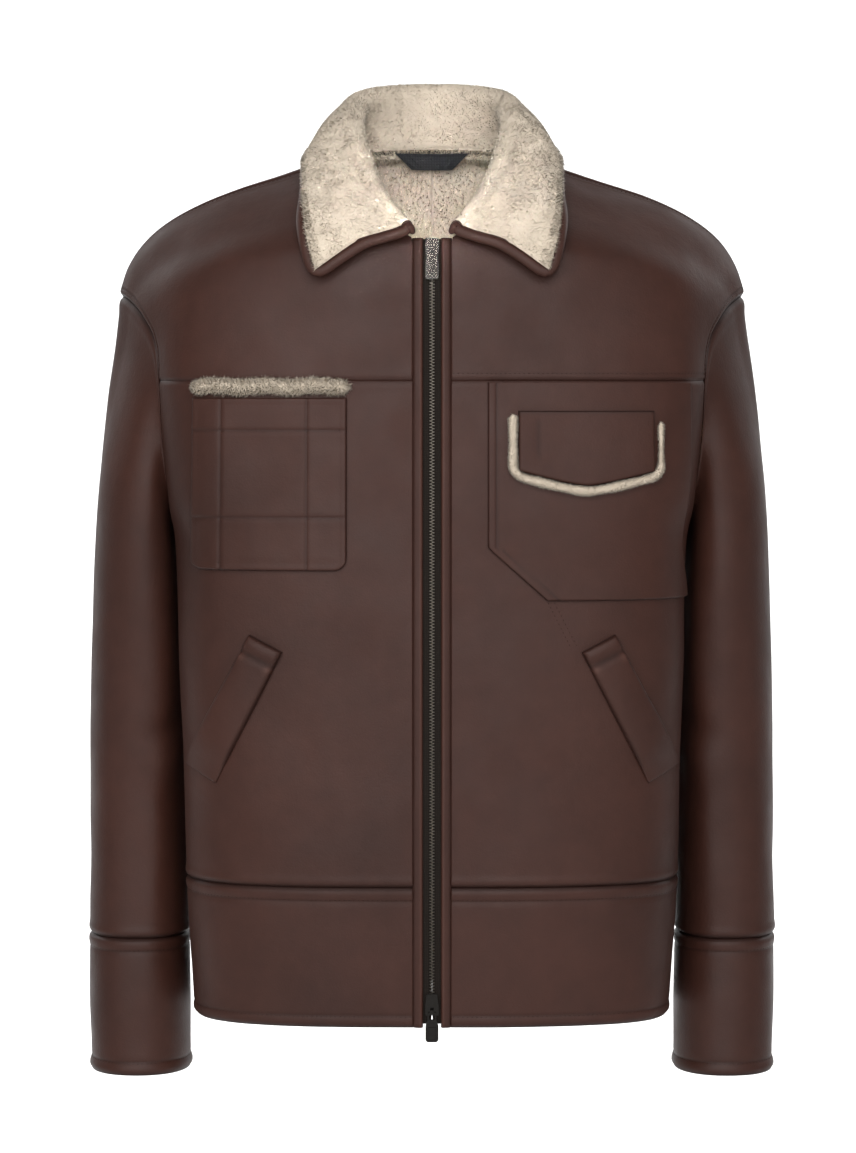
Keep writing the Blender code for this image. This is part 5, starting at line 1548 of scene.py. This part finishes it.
def make_trims():
    """The wool along the top of the patch pocket and around the flap."""
    rng = np.random.default_rng(3)
    xs, ts = np.linspace(0.0625, 0.1850, 60), np.linspace(0.0, 1.0, 14)
    x_grid, t_grid = np.meshgrid(xs, ts)
    ends = smooth(-0.002, 0.006, np.minimum(x_grid - xs[0], xs[-1] - x_grid))
    z_grid = -0.1799 - (t_grid - 0.5) * 0.0112 * ends + 0.0007 * np.sin(x_grid * 160.0)
    crown = np.sin(math.pi * (0.06 + 0.88 * t_grid))
    lift = LAY_GAP + 0.0052 * crown * ends
    lift = lift + 0.0008 * wander(np.stack([x_grid, t_grid * 0.02, 0 * x_grid], -1), (120, 120, 1), (1, 2, 3))
    top, _ = laid(x_grid, z_grid, np.maximum(lift, 0.0008), -1)
    under, _ = laid(x_grid, z_grid, 0.0004, -1)
    strip = closed_patch("patch_pocket_trim_skin", top, under, np.full(x_grid.shape, 0.5), -1,
                         materials=(WOOL,), slot="cream_wool", stands_for="patch_pocket_trim")
    normals = unit(np.cross(np.gradient(top, axis=0), np.gradient(top, axis=1)))
    normals = normals if normals[7, 30, 1] < 0 else -normals
    roots, lie = scatter(top, normals, 5200000.0, rng)
    add_fibres("patch_pocket_wool", (roots - 0.0012 * lie) * (-1, 1, 1), lie * (-1, 1, 1), rng, 0.0046,
               0.00028, np.array((0.0, 0.0, -0.05)), 0.75, 0.0024)
    base = CURVE_GAP + CHEST_THICKNESS
    out = FLAP_TRIM_RADIUS + SEAM_GAP
    left, right = FLAP_X[0] - out, FLAP_X[1] + out
    low = [(x, float(flap_bottom(np.array(x))) - out) for x in np.linspace(*FLAP_X, 40)]
    route = ([(left, z) for z in np.linspace(FLAP_TOP_Z - 0.003, FLAP_SIDE_Z, 18)] + low
             + [(right, z) for z in np.linspace(FLAP_SIDE_Z, FLAP_TOP_Z - 0.009, 14)])
    route = softened(np.array(route), 2)
    path, lie = on_front(route[:, 0], route[:, 1])
    path = path + (base + LAY_GAP + 0.0022 + body_relief(path, 1))[:, None] * lie
    shape = np.linspace(0.0, 1.0, len(path))
    radii = 0.0030 + 0.0003 * np.sin(shape * 40.0) - 0.0012 * smooth(0.80, 0.86, shape)
    radii = radii * np.sqrt(np.clip(np.minimum(shape, 1.0 - shape) / 0.012, 0.02, 1.0))
    points, faces = tube(path, lie, radii, sides=10, flatness=0.8)
    trim = add_piece("flap_trim_skin", points, faces, (WOOL,), None, np.full(len(points), 0.5), slot="cream_wool",
                     stands_for="flap_trim")
    rings = points.reshape(len(path), 10, 3)
    rings = np.concatenate([rings, rings[:, :1]], axis=1)
    outward = unit(rings - path[:, None, :])
    roots, lie = scatter(rings, outward, 6000000.0, rng, keep=(outward @ np.array((0.0, -1.0, 0.0))) > -0.5)
    add_fibres("flap_wool", roots - 0.0008 * lie, lie, rng, 0.0026, 0.00024, np.zeros(3), 0.7, 0.0020)


make_neck_wool()
make_trims()
add_piece("stitching", stitch_points, stitch_faces, (THREAD,), recalculate=False)


# Stage, light and camera

SWEEP_FROM = 3.8
SWEEP_RADIUS = 1.2


def make_stage():
    """A pale floor that sweeps up into a backdrop."""
    profile = [(-4.0, FLOOR_Z), (SWEEP_FROM, FLOOR_Z)]
    profile += [(SWEEP_FROM + SWEEP_RADIUS * math.sin(a), FLOOR_Z + SWEEP_RADIUS * (1 - math.cos(a)))
                for a in np.linspace(0.1, math.pi / 2, 14)]
    profile.append((SWEEP_FROM + SWEEP_RADIUS, 5.0))
    points = [(x, y, z) for y, z in profile for x in (-5.0, 5.0)]
    faces = [(2 * k, 2 * k + 1, 2 * k + 3, 2 * k + 2) for k in range(len(profile) - 1)]
    mesh = bpy.data.meshes.new("floor")
    mesh.from_pydata(points, [], faces)
    mesh.shade_smooth()
    material, tree, shader = new_material("pale_floor", Roughness=0.9)
    tree.links.new(ramp(tree, noise_at(tree, 1.5), ((0.3, 0.86), (0.7, 0.88))), shader.inputs["Base Color"])
    mesh.materials.append(material)
    floor = bpy.data.objects.new("floor", mesh)
    bpy.context.scene.collection.objects.link(floor)


def aimed(name, data, place, target):
    """An object at a place, looking at a target."""
    made = bpy.data.objects.new(name, data)
    made.location = place
    made.rotation_euler = (Vector(target) - Vector(place)).to_track_quat("-Z", "Y").to_euler()
    bpy.context.scene.collection.objects.link(made)
    return made


# Area lights. Columns: name, place, target, width, height, power
LIGHTS = (
    ("key_left", (-1.45, -2.4, 0.6), (0.0, 0.0, -0.35), 1.4, 2.0, 22.0),
    ("key_right", (1.6, -2.2, 0.5), (0.0, 0.0, -0.35), 1.4, 2.0, 7.0),
    ("top", (0.0, -2.0, 1.4), (0.0, 0.05, -0.05), 1.8, 1.0, 32.0),
    ("front", (0.0, -3.3, 0.2), (0.0, 0.0, -0.2), 2.2, 1.6, 42.0),
    ("backdrop_left", (-1.7, 1.6, 1.0), (0.0, 3.9, -0.95), 1.4, 1.4, 90.0),
    ("backdrop_right", (1.7, 1.6, 1.0), (0.0, 3.9, -0.95), 1.4, 1.4, 90.0),
)
NECK_LIGHT = ((0.0, -1.7, 0.42), (0.0, 0.06, -0.050), 0.14, 0.075, math.radians(5.0))
WORLD_STRENGTH = 0.34


def make_light_and_camera():
    """Soft area lights, a pale world and the photo's camera."""
    for name, place, target, width, height, power in LIGHTS:
        lamp = bpy.data.lights.new(name, "AREA")
        lamp.shape = "RECTANGLE"
        lamp.size = width
        lamp.size_y = height
        lamp.energy = power
        aimed(name, lamp, place, target)
    place, target, size, power, spread = NECK_LIGHT
    lamp = bpy.data.lights.new("neck", "AREA")
    lamp.shape = "DISK"
    lamp.size = size
    lamp.energy = power
    lamp.spread = spread
    aimed("neck", lamp, place, target)
    world = bpy.data.worlds.new("studio")
    world.use_nodes = True
    world.node_tree.nodes["Background"].inputs["Color"].default_value = (1.0, 1.0, 1.0, 1.0)
    world.node_tree.nodes["Background"].inputs["Strength"].default_value = WORLD_STRENGTH
    bpy.context.scene.world = world
    lens = bpy.data.cameras.new("camera")
    lens.sensor_fit = "VERTICAL"
    lens.sensor_height = 36.0
    lens.lens = CAMERA_LENS
    lens.clip_end = 50.0
    bpy.context.scene.camera = aimed("camera", lens, CAMERA_PLACE, CAMERA_TARGET)
    bpy.context.scene.view_settings.view_transform = "Standard"


make_stage()
make_light_and_camera()
